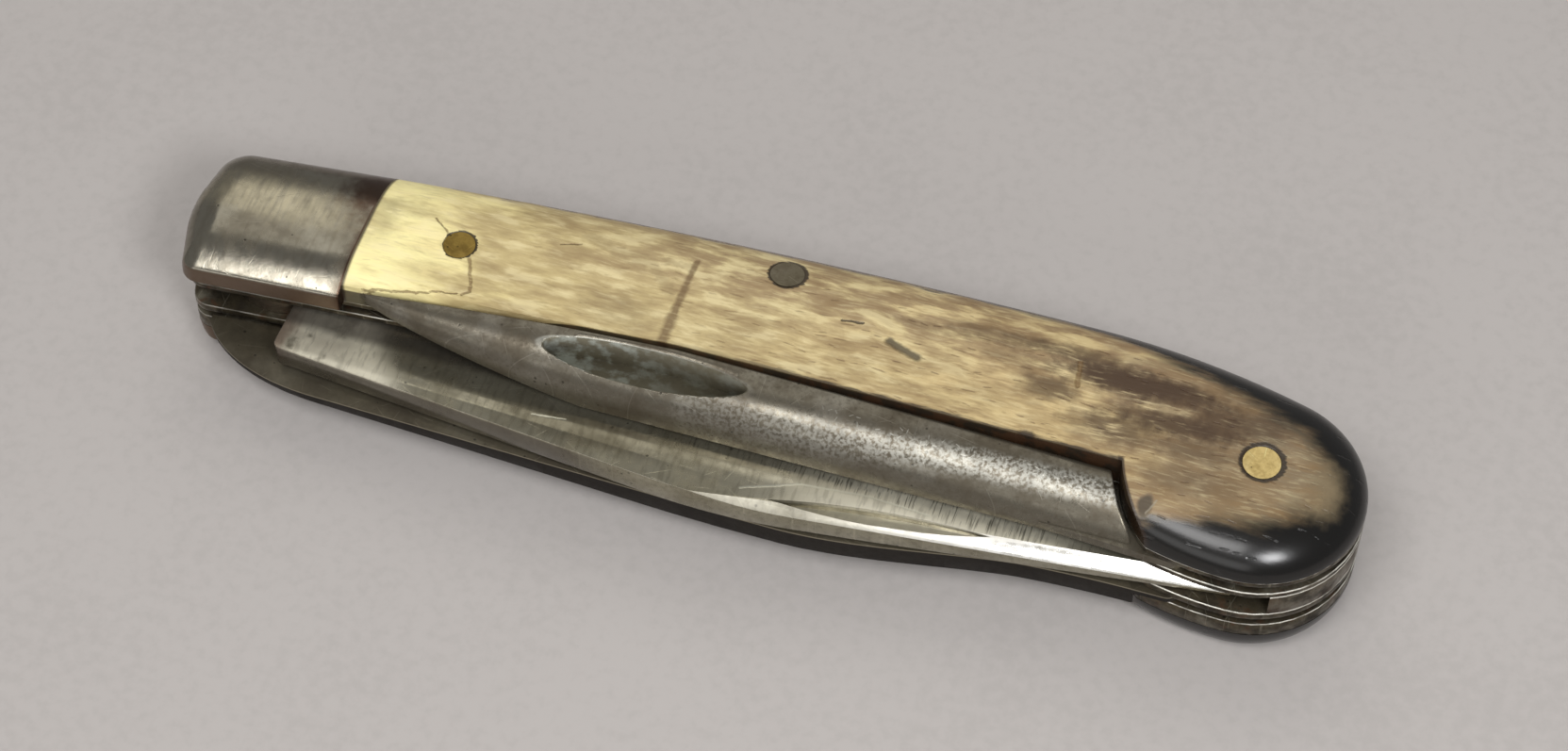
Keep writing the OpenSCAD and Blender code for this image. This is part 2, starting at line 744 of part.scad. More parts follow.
module back_blade() {
    stations = concat(
        [for (i = [0:10]) sheep_x + sheep_nose * (1 - cos(90 * i / 10))],
        [for (i = [1:14]) sheep_nose_x + (butt_x - sheep_nose_x) * i / 14]);
    rings = [for (x = stations) sheep_section(x)];
    color(steel)
        translate([0, 0, z_inner_back - side_play])
            mirror([0, 0, 1])
                difference() {
                    union() {
                        difference() {
                            skin(rings, fan(len(rings[0])));
                            translate([butt_x, 0, -eps])
                                cylinder(r = step_r + step_gap, h = far, $fn = 128);
                        }
                        tang_plate(sheep_waist_y, sheep_waist_y, back_slot_t - 2 * side_play);
                    }
                    bore(butt_x, 0, butt_pin_r);
                }
}

pin_sink = 0.04;

module bolster_pin() {
    color(nickel)
        translate([bolster_x, 0, pin_sink])
            cylinder(r = bolster_pin_r, h = z_top - 2 * pin_sink);
}

module butt_pin() {
    color(brass)
        translate([butt_x, 0, pin_sink])
            cylinder(r = butt_pin_r, h = z_top - 2 * pin_sink);
}

// The spring pin's heads follow the slope of the rolled back
module spring_pin() {
    color(steel)
        difference() {
            translate([spring_pin_x, spring_pin_y, 0])
                cylinder(r = spring_pin_r, h = z_top);
            translate([0, spring_pin_y, z_front_scale + front_scale_t * roll_height(spring_pin_in, front_roll)])
                rotate([-roll_slope(spring_pin_in, front_roll, front_scale_t), 0, 0])
                    translate([-far / 2, -far / 2, -pin_sink])
                        cube(far);
            translate([0, spring_pin_y, back_scale_t * (1 - roll_height(spring_pin_in, back_roll))])
                rotate([roll_slope(spring_pin_in, back_roll, back_scale_t), 0, 0])
                    translate([-far / 2, -far / 2, pin_sink - far])
                        cube(far);
        }
}

module front_scale_rivet() {
    color(brass)
        translate([rivet_x, rivet_y, z_front_liner])
            cylinder(r = rivet_r, h = z_top - z_front_liner - pin_sink);
}

module back_scale_rivet() {
    color(brass)
        translate([rivet_x, rivet_y, pin_sink])
            cylinder(r = rivet_r, h = z_back_slot - pin_sink);
}

module front_bolster_studs() {
    color(nickel)
        for (p = stud_places)
            translate([p.x, p.y, z_front_liner])
                cylinder(r = stud_r, h = front_liner_t + front_scale_t * stud_depth - pin_sink);
}

module back_bolster_studs() {
    color(nickel)
        for (p = stud_places)
            translate([p.x, p.y, back_scale_t * (1 - stud_depth) + pin_sink])
                cylinder(r = stud_r, h = back_liner_t + back_scale_t * stud_depth - pin_sink);
}

front_scale();
back_scale();
front_bolster();
back_bolster();
front_liner();
inner_front_liner();
inner_back_liner();
back_liner();
main_spring();
front_spring();
back_spring();
main_blade();
front_spike();
back_blade();
bolster_pin();
butt_pin();
spring_pin();
front_scale_rivet();
back_scale_rivet();
front_bolster_studs();
back_bolster_studs();
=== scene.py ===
# Three-tool pocket knife, closed, lying on its back scale.
# Lengths are written in millimetres and become metres when a mesh is made.
import math
import bmesh
import bpy
import numpy as np
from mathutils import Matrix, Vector


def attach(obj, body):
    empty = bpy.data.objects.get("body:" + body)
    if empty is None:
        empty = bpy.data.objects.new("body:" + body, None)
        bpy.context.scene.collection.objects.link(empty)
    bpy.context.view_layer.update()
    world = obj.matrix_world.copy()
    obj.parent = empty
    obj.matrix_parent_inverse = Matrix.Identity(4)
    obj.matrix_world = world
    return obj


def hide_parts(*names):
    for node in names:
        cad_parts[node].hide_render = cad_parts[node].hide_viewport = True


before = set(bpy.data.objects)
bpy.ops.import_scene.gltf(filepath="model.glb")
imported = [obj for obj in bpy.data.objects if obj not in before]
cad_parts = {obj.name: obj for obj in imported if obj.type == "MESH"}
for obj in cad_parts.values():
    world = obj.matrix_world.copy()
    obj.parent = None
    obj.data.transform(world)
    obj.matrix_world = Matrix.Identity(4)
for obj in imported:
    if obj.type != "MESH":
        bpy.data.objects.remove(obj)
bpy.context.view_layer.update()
mm = 0.001
meshFit = dict(crease=32.0, doubles=2e-7, tiny=1e-8, cadDoubles=1e-7, flatAngle=0.3, bevelAngle=25.0,
               bevelSteps=2, rodSteps=72, over=0.5)  # doubles, tiny and cadDoubles are in metres, angles in degrees

handle = dict(
    pivotSpan=84.5, endOverhang=8.05, buttR=9.0, buttDrop=0.5, backRise=2.15, crestIn=16.25,
    backEndY=6.15, cutY=3.2, cutEndY=6.4, cutBendX=-6.0, stepStand=1.7, rimRise=0.9,
    bolsterLen=15.4, stepLand=0.4, lowCrown=4.5, lowWall=0.55, lowOut=1.0, crownEase=0.003)
layers = dict(  # heights from the flat that the knife rests on, and the play on each side of a tool
    backLiner=3.4, backSlot=5.0, innerBack=5.8, frontSlot=9.7, frontLiner=10.7, frontScale=11.25, sidePlay=0.05)

buttX = handle["pivotSpan"] / 2
bolsterX = -buttX
endX = bolsterX - handle["endOverhang"]
seamX = endX + handle["bolsterLen"]
crestX = buttX - handle["crestIn"]
crestY = handle["buttR"] - handle["buttDrop"] + handle["backRise"]
crestOverButt = crestY + handle["buttDrop"]
longR = ((crestX - endX) ** 2 + (crestY - handle["backEndY"]) ** 2) / (2 * (crestY - handle["backEndY"]))
shortR = (((buttX - crestX) ** 2 + crestOverButt ** 2 - handle["buttR"] ** 2)
          / (2 * (crestOverButt - handle["buttR"])))
joinA = math.degrees(math.atan2(shortR - crestOverButt, buttX - crestX))
stepR = handle["buttR"] + handle["buttDrop"] + handle["stepStand"]
stepTopX = buttX - math.sqrt(stepR ** 2 - handle["cutY"] ** 2)
cutSlope = (handle["cutEndY"] - handle["cutY"]) / (handle["cutBendX"] - endX)


def backAt(x, d):
    # the back is two arcs that meet at the crest; d draws them in
    r = np.where(x < crestX, longR, shortR)
    return crestY - r + np.sqrt((r - d) ** 2 - (x - crestX) ** 2)


def cutLine(x):
    # level from the step to the bend, then a straight slope down to the bolster end
    return -handle["cutY"] - cutSlope * np.maximum(0, handle["cutBendX"] - x)


def crownIn(rise):
    # nothing along the upright wall, then one minus a square root up to the flat, with a small easing between
    m = (rise - handle["lowWall"]) / (1 - handle["lowWall"])
    eased = (m + math.sqrt(m * m + handle["crownEase"])) / 2
    return 1 - math.sqrt(1 - min(1.0, eased))


def arcPoints(cx, cy, r, a, b, n):
    # n points on a circle from angle a to angle b in degrees
    t = np.radians(np.linspace(a, b, n))
    return np.stack([cx + r * np.cos(t), cy + r * np.sin(t)], 1)


def smooth(piece):
    mesh = piece.data
    mesh.polygons.foreach_set("use_smooth", np.ones(len(mesh.polygons), bool))
    mesh.set_sharp_from_angle(angle=math.radians(meshFit["crease"]))


def newPiece(name, verts, faces):
    # a mesh from arrays in mm: doubles merged, normals outwards, smooth below the crease angle
    mesh = bpy.data.meshes.new(name)
    mesh.from_pydata((np.asarray(verts) * mm).tolist(), [], [list(f) for f in faces])
    bm = bmesh.new()
    bm.from_mesh(mesh)
    bmesh.ops.remove_doubles(bm, verts=bm.verts, dist=meshFit["doubles"])
    bmesh.ops.dissolve_degenerate(bm, edges=bm.edges, dist=meshFit["tiny"])
    bmesh.ops.recalc_face_normals(bm, faces=bm.faces)
    bm.to_mesh(mesh)
    bm.free()
    piece = bpy.data.objects.new(name, mesh)
    bpy.context.scene.collection.objects.link(piece)
    smooth(piece)
    return piece


def gridFaces(rows, cols, closeRows):
    # quads between neighbouring rows; closeRows joins the last row to the first
    i = np.arange(rows if closeRows else rows - 1)[:, None]
    j = np.arange(cols - 1)[None, :]
    a = i * cols + j
    b = ((i + 1) % rows) * cols + j
    return np.stack([a, a + 1, b + 1, b], -1).reshape(-1, 4).tolist()


def skinRings(name, rings):
    # closed rings of equal length joined by quads, with a face on the first and the last
    n, m = rings.shape[:2]
    loop = np.concatenate([rings, rings[:, :1]], 1)
    faces = gridFaces(n, m + 1, False)
    faces += [list(range(m)), [(n - 1) * (m + 1) + j for j in range(m)]]
    return newPiece(name, loop.reshape(-1, 3), faces)


def prism(name, outline, low, high):
    # an outline between two heights, each one number or a number per point
    n = len(outline)
    verts = np.concatenate([np.c_[outline, np.full(n, z)] for z in (low, high)])
    faces = [list(range(n)), list(range(n, 2 * n))]
    faces += [[k, (k + 1) % n, (k + 1) % n + n, k + n] for k in range(n)]
    return newPiece(name, verts, faces)


def rod(name, x, y, z0, z1, r):
    return prism(name, arcPoints(x, y, r, 0, 360, meshFit["rodSteps"] + 1)[:-1], z0, z1)


def applyAll(piece):
    # the piece keeps what its modifiers make of it
    depsgraph = bpy.context.evaluated_depsgraph_get()
    done = bpy.data.meshes.new_from_object(piece.evaluated_get(depsgraph))
    piece.modifiers.clear()
    old = piece.data
    piece.data = done
    bpy.data.meshes.remove(old)


def cut(piece, *cutters, how="DIFFERENCE"):
    # boolean by other pieces, which are then thrown away
    for c in cutters:
        m = piece.modifiers.new("cut", "BOOLEAN")
        m.operation = how
        m.solver = "EXACT"
        m.object = c
    applyAll(piece)
    for c in cutters:
        bpy.data.objects.remove(c)


def wornEdges(piece, width):
    # a small rounded bevel on every sharp edge
    m = piece.modifiers.new("worn edge", "BEVEL")
    m.width = width * mm
    m.segments = meshFit["bevelSteps"]
    m.limit_method = "ANGLE"
    m.angle_limit = math.radians(meshFit["bevelAngle"])
    m.use_clamp_overlap = True
    applyAll(piece)
    smooth(piece)


def roundedOutline(corners, n):
    # a polygon of [x, y, radius] corners, each radius swung as an arc of n steps
    pts = []
    m = len(corners)
    for i in range(m):
        p, q, s = [np.array(corners[k % m][:2], float) for k in (i - 1, i, i + 1)]
        r = corners[i][2]
        if r <= 0:
            pts.append(q)
            continue
        u, v = (p - q) / np.linalg.norm(p - q), (s - q) / np.linalg.norm(s - q)
        half = math.acos(np.clip(u @ v, -1, 1)) / 2
        c = q + (u + v) / np.linalg.norm(u + v) * r / math.sin(half)
        a, b = q + u * r / math.tan(half) - c, q + v * r / math.tan(half) - c
        start = math.degrees(math.atan2(a[1], a[0]))
        turn = (math.degrees(math.atan2(b[1], b[0])) - start + 540) % 360 - 180
        pts.extend(arcPoints(c[0], c[1], r, start, start + turn, n + 1))
    return np.array(pts)


pinPlace = dict(springX=0.3, springDown=3.55, rivetIn=15.55, rivetY=1.0, fit=0.03)
pins = dict(
    buttPin=dict(x=buttX, y=0.0, r=1.55),
    springPin=dict(x=pinPlace["springX"], y=float(backAt(pinPlace["springX"], 0)) - pinPlace["springDown"], r=1.45),
    rivet=dict(x=bolsterX + pinPlace["rivetIn"], y=pinPlace["rivetY"], r=1.35))


def pinHoles(low, high, *names):
    return [rod("hole", pins[n]["x"], pins[n]["y"], low - meshFit["over"], high + meshFit["over"],
                pins[n]["r"] + pinPlace["fit"]) for n in names]


scaleShape = dict(rollSteps=22, flatSteps=16, fadeSteps=50, alongSteps=110, stepSteps=14, rimSteps=18,
                  buttSteps=44, rollFade=15.0, frontRoll=6.0, backRoll=2.2, frontT=3.2, backT=3.4)


def scaleSides(share, crown, w, out):
    # lower side: crowned edge that turns square, upright step, rim parabola, round butt
    # upper side: the back's two arcs and the round butt
    h, s = handle, scaleShape
    d = share * w
    rimY = -h["buttR"] - h["buttDrop"] + h["rimRise"]
    lowY = rimY + share * (-h["cutY"] - h["stepLand"] - rimY)
    lowX = buttX - math.sqrt(stepR ** 2 - lowY ** 2)
    footY = -h["buttDrop"] - h["buttR"] + d
    aTop = 180 + math.degrees(math.asin(h["cutY"] / stepR))
    aLow = 180 + math.degrees(math.asin(-lowY / stepR))
    xs = np.concatenate([np.linspace(seamX, seamX + s["rollFade"], s["fadeSteps"]),
                         np.linspace(seamX + s["rollFade"], stepTopX, s["alongSteps"])[1:]])
    fade = np.maximum(0, 1 - (xs - seamX) / s["rollFade"]) ** 2
    u = 1 - np.arange(1, s["rimSteps"] + 1) / s["rimSteps"]
    low = np.concatenate([
        np.stack([xs, cutLine(xs) + max(0, crown * h["lowCrown"] - out) * fade], 1)[:-1],
        arcPoints(buttX, 0, stepR, aTop, aLow, s["stepSteps"] + 1),
        np.stack([buttX + (lowX - buttX) * u, footY + (lowY - footY) * u ** 2], 1),
        arcPoints(buttX, -h["buttDrop"], h["buttR"] - d, -90, 0, s["buttSteps"] + 1)[1:]])
    across = len(low) - (len(xs) - 1) - s["buttSteps"]  # so that both sides have as many points
    start = math.degrees(math.acos((stepTopX - crestX) / (shortR - d)))
    high = np.concatenate([
        np.stack([xs, backAt(xs, d)], 1)[:-1],
        arcPoints(crestX, crestY - shortR, shortR - d, start, joinA, across),
        arcPoints(buttX, -h["buttDrop"], h["buttR"] - d, joinA, 0, s["buttSteps"] + 1)[1:]])
    return low, high


def makeScale(name, w, t, zFlat, up, out):
    # rows run up the lower edge, level across the top, down the rolled back, and across the flat below
    s = scaleShape
    k = np.arange(s["rollSteps"] + 1) / s["rollSteps"] * math.pi / 2
    lowRows, highRows = [], []
    for share, rise in zip(1 - np.cos(k), np.sin(k)):
        low, high = scaleSides(share, crownIn(rise), w, out)
        z = np.full((len(low), 1), t * rise)
        lowRows.append(np.hstack([low, z]))
        highRows.append(np.hstack([high, z]))
    flat = np.linspace(0, 1, s["flatSteps"] + 2)[1:-1]
    top = [lowRows[-1] * (1 - f) + highRows[-1] * f for f in flat]
    under = [highRows[0] * (1 - f) + lowRows[0] * f for f in flat]
    rows = np.array(lowRows + top + highRows[::-1] + under)
    rows[..., 2] = zFlat + up * rows[..., 2]
    n, m = rows.shape[:2]
    faces = gridFaces(n, m, True) + [[i * m for i in range(n)]]
    scale = newPiece(name, rows.reshape(-1, 3), faces)
    cut(scale, *pinHoles(*sorted((zFlat, zFlat + up * t)), "buttPin", "springPin", "rivet"))
    return scale


def bothSides(make, kind):
    # the front cheek, then its mate at the back
    s = scaleShape
    return (make("front" + kind, s["frontRoll"], s["frontT"], layers["frontScale"], 1, handle["lowOut"]),
            make("back" + kind, s["backRoll"], s["backT"], layers["backLiner"], -1, 0.0))


frontScale, backScale = bothSides(makeScale, "Scale")
print("scales made", len(frontScale.data.polygons), len(backScale.data.polygons))

bolsterShape = dict(endBow=1.5, endBackR=3.0, endCutR=1.6, endMidR=12.0, endRoll=3.4, lowShare=0.8,
                    cornerLoss=0.85, bowLoss=0.6, ringSteps=40, cornerSteps=16)


def bolsterContour(share, crown, w, out):
    # seam, back, bowed end and tool side; corners are drawn in along straight lines and lose their radius on the way
    b = bolsterShape
    low, end = crown * handle["lowCrown"] - out, share * b["endRoll"]
    bow = b["endBow"] * (1 - share * b["bowLoss"])
    lowX, highX = endX + bow + end * b["lowShare"], endX + bow / 2 + end
    lowY, highY = float(cutLine(lowX)) + low, float(backAt(highX, share * w))
    ease = 1 - share * b["cornerLoss"]
    return roundedOutline([
        [seamX, float(cutLine(seamX)) + low, 0], [seamX, float(backAt(seamX, share * w)), 0],
        [highX, highY, b["endBackR"] * ease],
        [endX - bow / 3 + end, (lowY + highY) / 2, b["endMidR"] * ease * ease],
        [lowX, lowY, b["endCutR"] * ease]], b["cornerSteps"])


def makeBolster(name, w, t, zFlat, up, out):
    # rings of the contour, drawn in by one minus the cosine of the roll's angle while they rise by its sine
    rings = []
    for a in np.linspace(0, math.pi / 2, bolsterShape["ringSteps"] + 1):
        ring = bolsterContour(1 - math.cos(a), crownIn(math.sin(a)), w, out)
        rings.append(np.c_[ring, np.full(len(ring), zFlat + up * t * math.sin(a))])
    return skinRings(name, np.array(rings))


frontBolster, backBolster = bothSides(makeBolster, "Bolster")
print("bolsters made")

toolFit = dict(sunk=0.02, gap=0.25, stepGap=0.7, noseLand=0.35, rollShare=0.92, tangR=5.2,
               tongueLen=16.0, tongueEnd=3.9, tongueR=1.2, tongueLean=0.6, tongueIn=0.45, plateKick=6.8,
               kickLen=9.5, kickRoom=0.05, ease=0.6, kickCorner=0.4, endEase=0.22, endBlend=6.0, cornerSteps=8)
spikeShape = dict(edgeY=8.45, reach=74.9, nose=55.2, height=4.5, tipFall=0.9, endFall=0.8, ease=0.6, tipT=0.7,
                  curve=(1.5, 0.75), noseSteps=80, alongSteps=170, rollSteps=26, easeSteps=6, edgeShare=0.92,
                  between=(2.0, 32.0), power=(2.2, 1.7), roll=(3.5, 5.1), nickX=24.6, nickY=2.6, nickA=1.5,
                  nickLen=17.4, nickW=3.1, nickDepth=1.7, nickSlope=1.2, nickSteps=96, nickOver=6.0)
sheepShape = dict(edgeY=12.5, noseY=11.7, reach=89.3, nose=76.8, between=(-46.0, -4.0), rimT=(0.5, 2.1), power=1.3,
                  taper=0.5, lift=0.4, curve=(2.4, 0.7), humpX=0.5, waistFrom=5.0, waistOut=0.2, noseSteps=60,
                  alongSteps=190, rollSteps=22, bevel=0.16)
tongueY = handle["buttR"] + handle["buttDrop"] - toolFit["tongueIn"]
nickCentre = (buttX - spikeShape["reach"] + spikeShape["nickX"], spikeShape["nickY"] - spikeShape["edgeY"])


def toolSides(x, s, broad):
    # share of the nose passed, inner side, and outer side that curves in to the tip along a power of that share
    tipX, noseX = buttX - s["reach"], buttX - s["nose"]
    u = max(0.0, (noseX - x) / (noseX - tipX))
    yIn, tipY = [float(cutLine(at)) - toolFit["gap"] for at in (x, tipX)]
    tipY -= toolFit["noseLand"]
    yOut = tipY + (-broad - tipY) * max(0.0, 1 - u ** s["curve"][0]) ** s["curve"][1]
    return u, yIn, yOut


def rollShares(power, steps):
    # a quarter of a superellipse from its upright end to its level end
    a = np.linspace(math.pi / 2, 0, steps)
    return np.cos(a) ** (2 / power), np.sin(a) ** (2 / power)


def skinTool(name, section, s):
    # close sections round the nose and even ones along the body; over the last few mm each row runs on to the
    # round of the step, and a quarter round eases the end
    tipX, noseX = buttX - s["reach"], buttX - s["nose"]
    nose = tipX + (noseX - tipX) * (1 - np.cos(np.linspace(0, math.pi / 2, s["noseSteps"])))
    xs = np.concatenate([nose, np.linspace(noseX, buttX - stepR, s["alongSteps"])[1:]])
    rings = np.array([section(x) for x in xs])
    r, ease, blend = stepR + toolFit["stepGap"], toolFit["endEase"], toolFit["endBlend"]
    xEnd = buttX - np.sqrt(r ** 2 - rings[-1, :, 1] ** 2)
    x0 = xs[-1] - blend
    f = np.clip((rings[..., 0] - x0) / blend, 0, None)
    rings[..., 0] = np.where(f > 0, x0 + f * (xEnd[None, :] - ease - x0), rings[..., 0])
    last = rings[-1]
    inward = last[:, 1:].mean(0) - last[:, 1:]
    inward /= np.linalg.norm(inward, axis=1)[:, None]
    extra = []
    for a in np.radians([22.5, 45, 67.5, 90]):
        ring = last.copy()
        ring[:, 0] += ease * math.sin(a)
        ring[:, 1:] += inward * ease * (1 - math.cos(a))
        extra.append(ring)
    return skinRings(name, np.concatenate([rings, np.array(extra)]))


def tangPlate(name, bodyY, neckY, slotLow, slotHigh):
    # the flat plate inside the slot: tongue past the step, kick and round tang
    f = toolFit
    low, high = slotLow + f["sunk"], slotHigh - f["sunk"]  # its flats lie just inside those of the tool
    kickY = f["tangR"] - f["kickRoom"]
    plan = roundedOutline([
        [buttX - f["tongueLen"], -bodyY, 0], [buttX - f["tongueEnd"], -neckY, f["tongueR"]],
        [buttX - f["tongueEnd"] + f["tongueLean"], -f["tangR"] / 2, 0], [buttX, 0, 0], [buttX, kickY, 0],
        [buttX - f["plateKick"], kickY, f["kickCorner"]], [buttX - f["kickLen"], handle["cutY"] / 2, f["tongueR"]],
        [buttX - f["tongueLen"], -handle["cutY"] - f["ease"] - f["gap"], 0]], f["cornerSteps"])
    plate = prism(name, plan, low, high)
    cut(plate, rod("tang", buttX, 0, low, high, f["tangR"]), how="UNION")
    cut(plate, *pinHoles(low, high, "buttPin"))
    return plate


def spikeSection(x):
    # flat inside, a small eased upper edge, and a broad roll, a superellipse, down to a low outer edge
    s = spikeShape
    u, yIn, yOut = toolSides(x, s, s["edgeY"])
    noseX = buttX - s["nose"]
    v = max(0.0, (x - noseX) / (stepTopX - noseX))
    top = s["height"] - s["tipFall"] * u * u - s["endFall"] * v * v
    floor = (s["height"] - s["tipFall"] - s["tipT"]) * u
    ease = min(s["ease"] * (1 + 4 * min(1, v)) / 5, (yIn - yOut) / 4)
    w = min(np.interp(x, s["between"], s["roll"]), (yIn - yOut - ease) * toolFit["rollShare"])
    h = (top - floor) * s["edgeShare"]
    a = np.linspace(0, math.pi / 2, s["easeSteps"])
    inward, upward = rollShares(np.interp(x, s["between"], s["power"]), s["rollSteps"])
    y = np.concatenate([[yOut, yIn], yIn - ease * (1 - np.cos(a)), yOut + w * (1 - inward)])
    z = np.concatenate([[floor, floor], top - ease * (1 - np.sin(a)), top - h + h * upward])
    return np.stack([np.full(len(y), x), y, z + layers["frontSlot"] + layers["sidePlay"]], 1)


def nickCutter(z):
    # an ellipse whose floor falls from its lower to its upper edge
    s = spikeShape
    a = np.linspace(0, 2 * math.pi, s["nickSteps"] + 1)[:-1]
    plan = np.stack([s["nickLen"] / 2 * np.cos(a), s["nickW"] / 2 * np.sin(a)], 1)
    floor = -s["nickSlope"] * (plan[:, 1] + s["nickW"] / 2) / s["nickW"]
    c, d = math.cos(math.radians(s["nickA"])), math.sin(math.radians(s["nickA"]))
    return prism("nick", plan @ np.array([[c, d], [-d, c]]) + nickCentre, z + floor, z + s["nickOver"])


def makeSpike():
    s = spikeShape
    low = layers["frontSlot"] + layers["sidePlay"]
    spike = skinTool("frontSpike", spikeSection, s)
    cut(spike, nickCutter(low + s["height"] - s["nickDepth"]))
    return spike, tangPlate("spikeTang", s["edgeY"], tongueY, low, layers["frontLiner"] - layers["sidePlay"])


def sheepSection(x):
    # level inside face; outside a thin rim and a broad roll, a superellipse, falling away to the outer face
    s = sheepShape
    noseX, w0, w1 = buttX - s["nose"], s["waistFrom"], buttX - stepR
    b = min(1.0, max(0.0, (x - noseX) / (s["humpX"] - noseX)))
    v = min(1.0, max(0.0, (x - w0) / (w1 - w0)))
    broad = (s["noseY"] + (s["edgeY"] - s["noseY"]) * b
             - (s["edgeY"] - tongueY - s["waistOut"]) * v * v * (3 - 2 * v))
    u, yIn, yOut = toolSides(x, s, broad)
    level = layers["innerBack"] - layers["sidePlay"]
    top = (level - s["lift"]) * (1 - s["taper"] * u)
    rim = np.interp(x, s["between"], s["rimT"])
    inward, downward = rollShares(s["power"], s["rollSteps"])
    y = np.concatenate([[yOut, yIn, yIn], yOut + (yIn - yOut) * toolFit["rollShare"] * (1 - inward)])
    z = np.concatenate([[0, 0, top], rim + (top - rim) * downward])
    return np.stack([np.full(len(y), x), y, level - z], 1)


def makeSheep():
    blade = skinTool("backBlade", sheepSection, sheepShape)
    wornEdges(blade, sheepShape["bevel"])
    waist = tongueY + sheepShape["waistOut"]
    return blade, tangPlate("backBladeTang", waist, waist, layers["backSlot"] + layers["sidePlay"],
                            layers["innerBack"] - layers["sidePlay"])


frontSpike, spikeTang = makeSpike()
backBlade, backBladeTang = makeSheep()
print("butt tools made", len(frontSpike.data.polygons), len(backBlade.data.polygons))

bevels = dict(main_blade=0.15, front_liner=0.08, inner_front_liner=0.08, inner_back_liner=0.08, back_liner=0.14,
              main_spring=0.14, front_spring=0.06, back_spring=0.06)
sheenLean = (0.25, 0.97)


def dressed(node, bevel):
    # a merged copy of a CAD node whose flat faces are joined and whose edges get a small worn bevel
    first, *rest = node.split("_")
    name = first + "".join(word.title() for word in rest)
    mesh = bpy.data.meshes.new(name)
    bm = bmesh.new()
    bm.from_mesh(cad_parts[node].data)
    bmesh.ops.remove_doubles(bm, verts=bm.verts, dist=meshFit["cadDoubles"])
    bmesh.ops.dissolve_limit(bm, angle_limit=math.radians(meshFit["flatAngle"]), verts=bm.verts, edges=bm.edges)
    bm.to_mesh(mesh)
    bm.free()
    piece = bpy.data.objects.new(name, mesh)
    bpy.context.scene.collection.objects.link(piece)
    wornEdges(piece, bevel)

    # marked one: the faces that lean up, neither level nor upright, the bevels and the swedge, which the blade and the
    # stack paint bright as a painted highlight
    faces = piece.data.polygons
    normals = np.empty(len(faces) * 3)
    faces.foreach_get("normal", normals)
    lean = normals[2::3]
    rubbed = (lean > sheenLean[0]) * (lean < sheenLean[1]) * 1.0
    piece.data.attributes.new("rubbed", "FLOAT", "FACE").data.foreach_set("value", rubbed)
    return piece


plates = {node: dressed(node, bevel) for node, bevel in bevels.items()}
mainBlade = plates.pop("main_blade")
bladeTop = max(v.co.z for v in mainBlade.data.vertices) / mm
print("plates made")

for piece, body, node, slot in [
        (frontScale, "handle", "front_scale", "bone"), (backScale, "handle", "back_scale", "bone"),
        (frontBolster, "handle", "front_bolster", "bolster_metal"),
        (backBolster, "handle", "back_bolster", "bolster_metal"),
        (frontSpike, "front_spike", "front_spike", "dark_steel"), (spikeTang, "front_spike", None, "dark_steel"),
        (backBlade, "back_blade", "back_blade", "blade_steel"), (backBladeTang, "back_blade", None, "blade_steel"),
        (mainBlade, "main_blade", "main_blade", "blade_steel")] + [
        (plates[n], "handle", n, "spring_steel" if "spring" in n else "liner_brass") for n in plates]:
    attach(piece, body)
    if node:
        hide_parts(node)
print("pieces ride on their bodies")


noiseRough = 0.55


def screen(red, green, blue):
    # a colour as it looks on a screen, 0 to 255, made linear
    return tuple(((v / 255 + 0.055) / 1.055) ** 2.4 if v > 10 else v / 3295 for v in (red, green, blue)) + (1.0,)


def feed(tree, value, socket):
    # a socket takes another node's output or a plain value
    if isinstance(value, bpy.types.NodeSocket):
        tree.links.new(value, socket)
    else:
        socket.default_value = value


def calc(tree, how, *values, clamp=False):
    node = tree.nodes.new("ShaderNodeMath")
    node.operation = how
    node.use_clamp = clamp
    for socket, value in zip(node.inputs, values):
        feed(tree, value, socket)
    return node.outputs[0]


def vectorCalc(tree, how, *values, result="Vector"):
    node = tree.nodes.new("ShaderNodeVectorMath")
    node.operation = how
    for socket, value in zip(node.inputs, values):
        feed(tree, value, socket)
    return node.outputs[result]


def soften(tree, value, low, high, start=0.0, end=1.0):
    # smooth step from start at low to end at high; low may be the greater
    node = tree.nodes.new("ShaderNodeMapRange")
    node.interpolation_type = "SMOOTHSTEP"
    for socket, v in zip(node.inputs, (value, low, high, start, end)):
        feed(tree, v, socket)
    return node.outputs[0]


def noiseAt(tree, place, scale, detail=3.0, result=0):
    node = tree.nodes.new("ShaderNodeTexNoise")
    for label, value in [("Vector", place), ("Scale", scale), ("Detail", detail), ("Roughness", noiseRough)]:
        feed(tree, value, node.inputs[label])
    return node.outputs[result]


def combine(tree, x, y, z):
    node = tree.nodes.new("ShaderNodeCombineXYZ")
    for socket, value in zip(node.inputs, (x, y, z)):
        feed(tree, value, socket)
    return node.outputs[0]


def axes(tree, place):
    node = tree.nodes.new("ShaderNodeSeparateXYZ")
    feed(tree, place, node.inputs[0])
    return node.outputs[0], node.outputs[1], node.outputs[2]


def paint(tree, amount, under, over):
    node = tree.nodes.new("ShaderNodeMix")
    node.data_type = "RGBA"
    feed(tree, amount, node.inputs[0])
    feed(tree, under, node.inputs[6])
    feed(tree, over, node.inputs[7])
    return node.outputs[2]


def along(tree, value, stops, low, high):
    # a ramp of colours or of plain shares over value from low to high
    node = tree.nodes.new("ShaderNodeValToRGB")
    feed(tree, calc(tree, "DIVIDE", calc(tree, "SUBTRACT", value, low), high - low, clamp=True), node.inputs[0])
    points = node.color_ramp.elements
    while len(points) < len(stops):
        points.new(0.5)
    for point, (where, colour) in zip(points, stops):
        point.position = (where - low) / (high - low)
        point.color = colour if isinstance(colour, tuple) else (colour, colour, colour, 1.0)
    return node.outputs[0]


def highest(tree, first, *others):
    for other in others:
        first = calc(tree, "MAXIMUM", first, other)
    return first


def times(tree, first, *others):
    for other in others:
        first = calc(tree, "MULTIPLY", first, other)
    return first


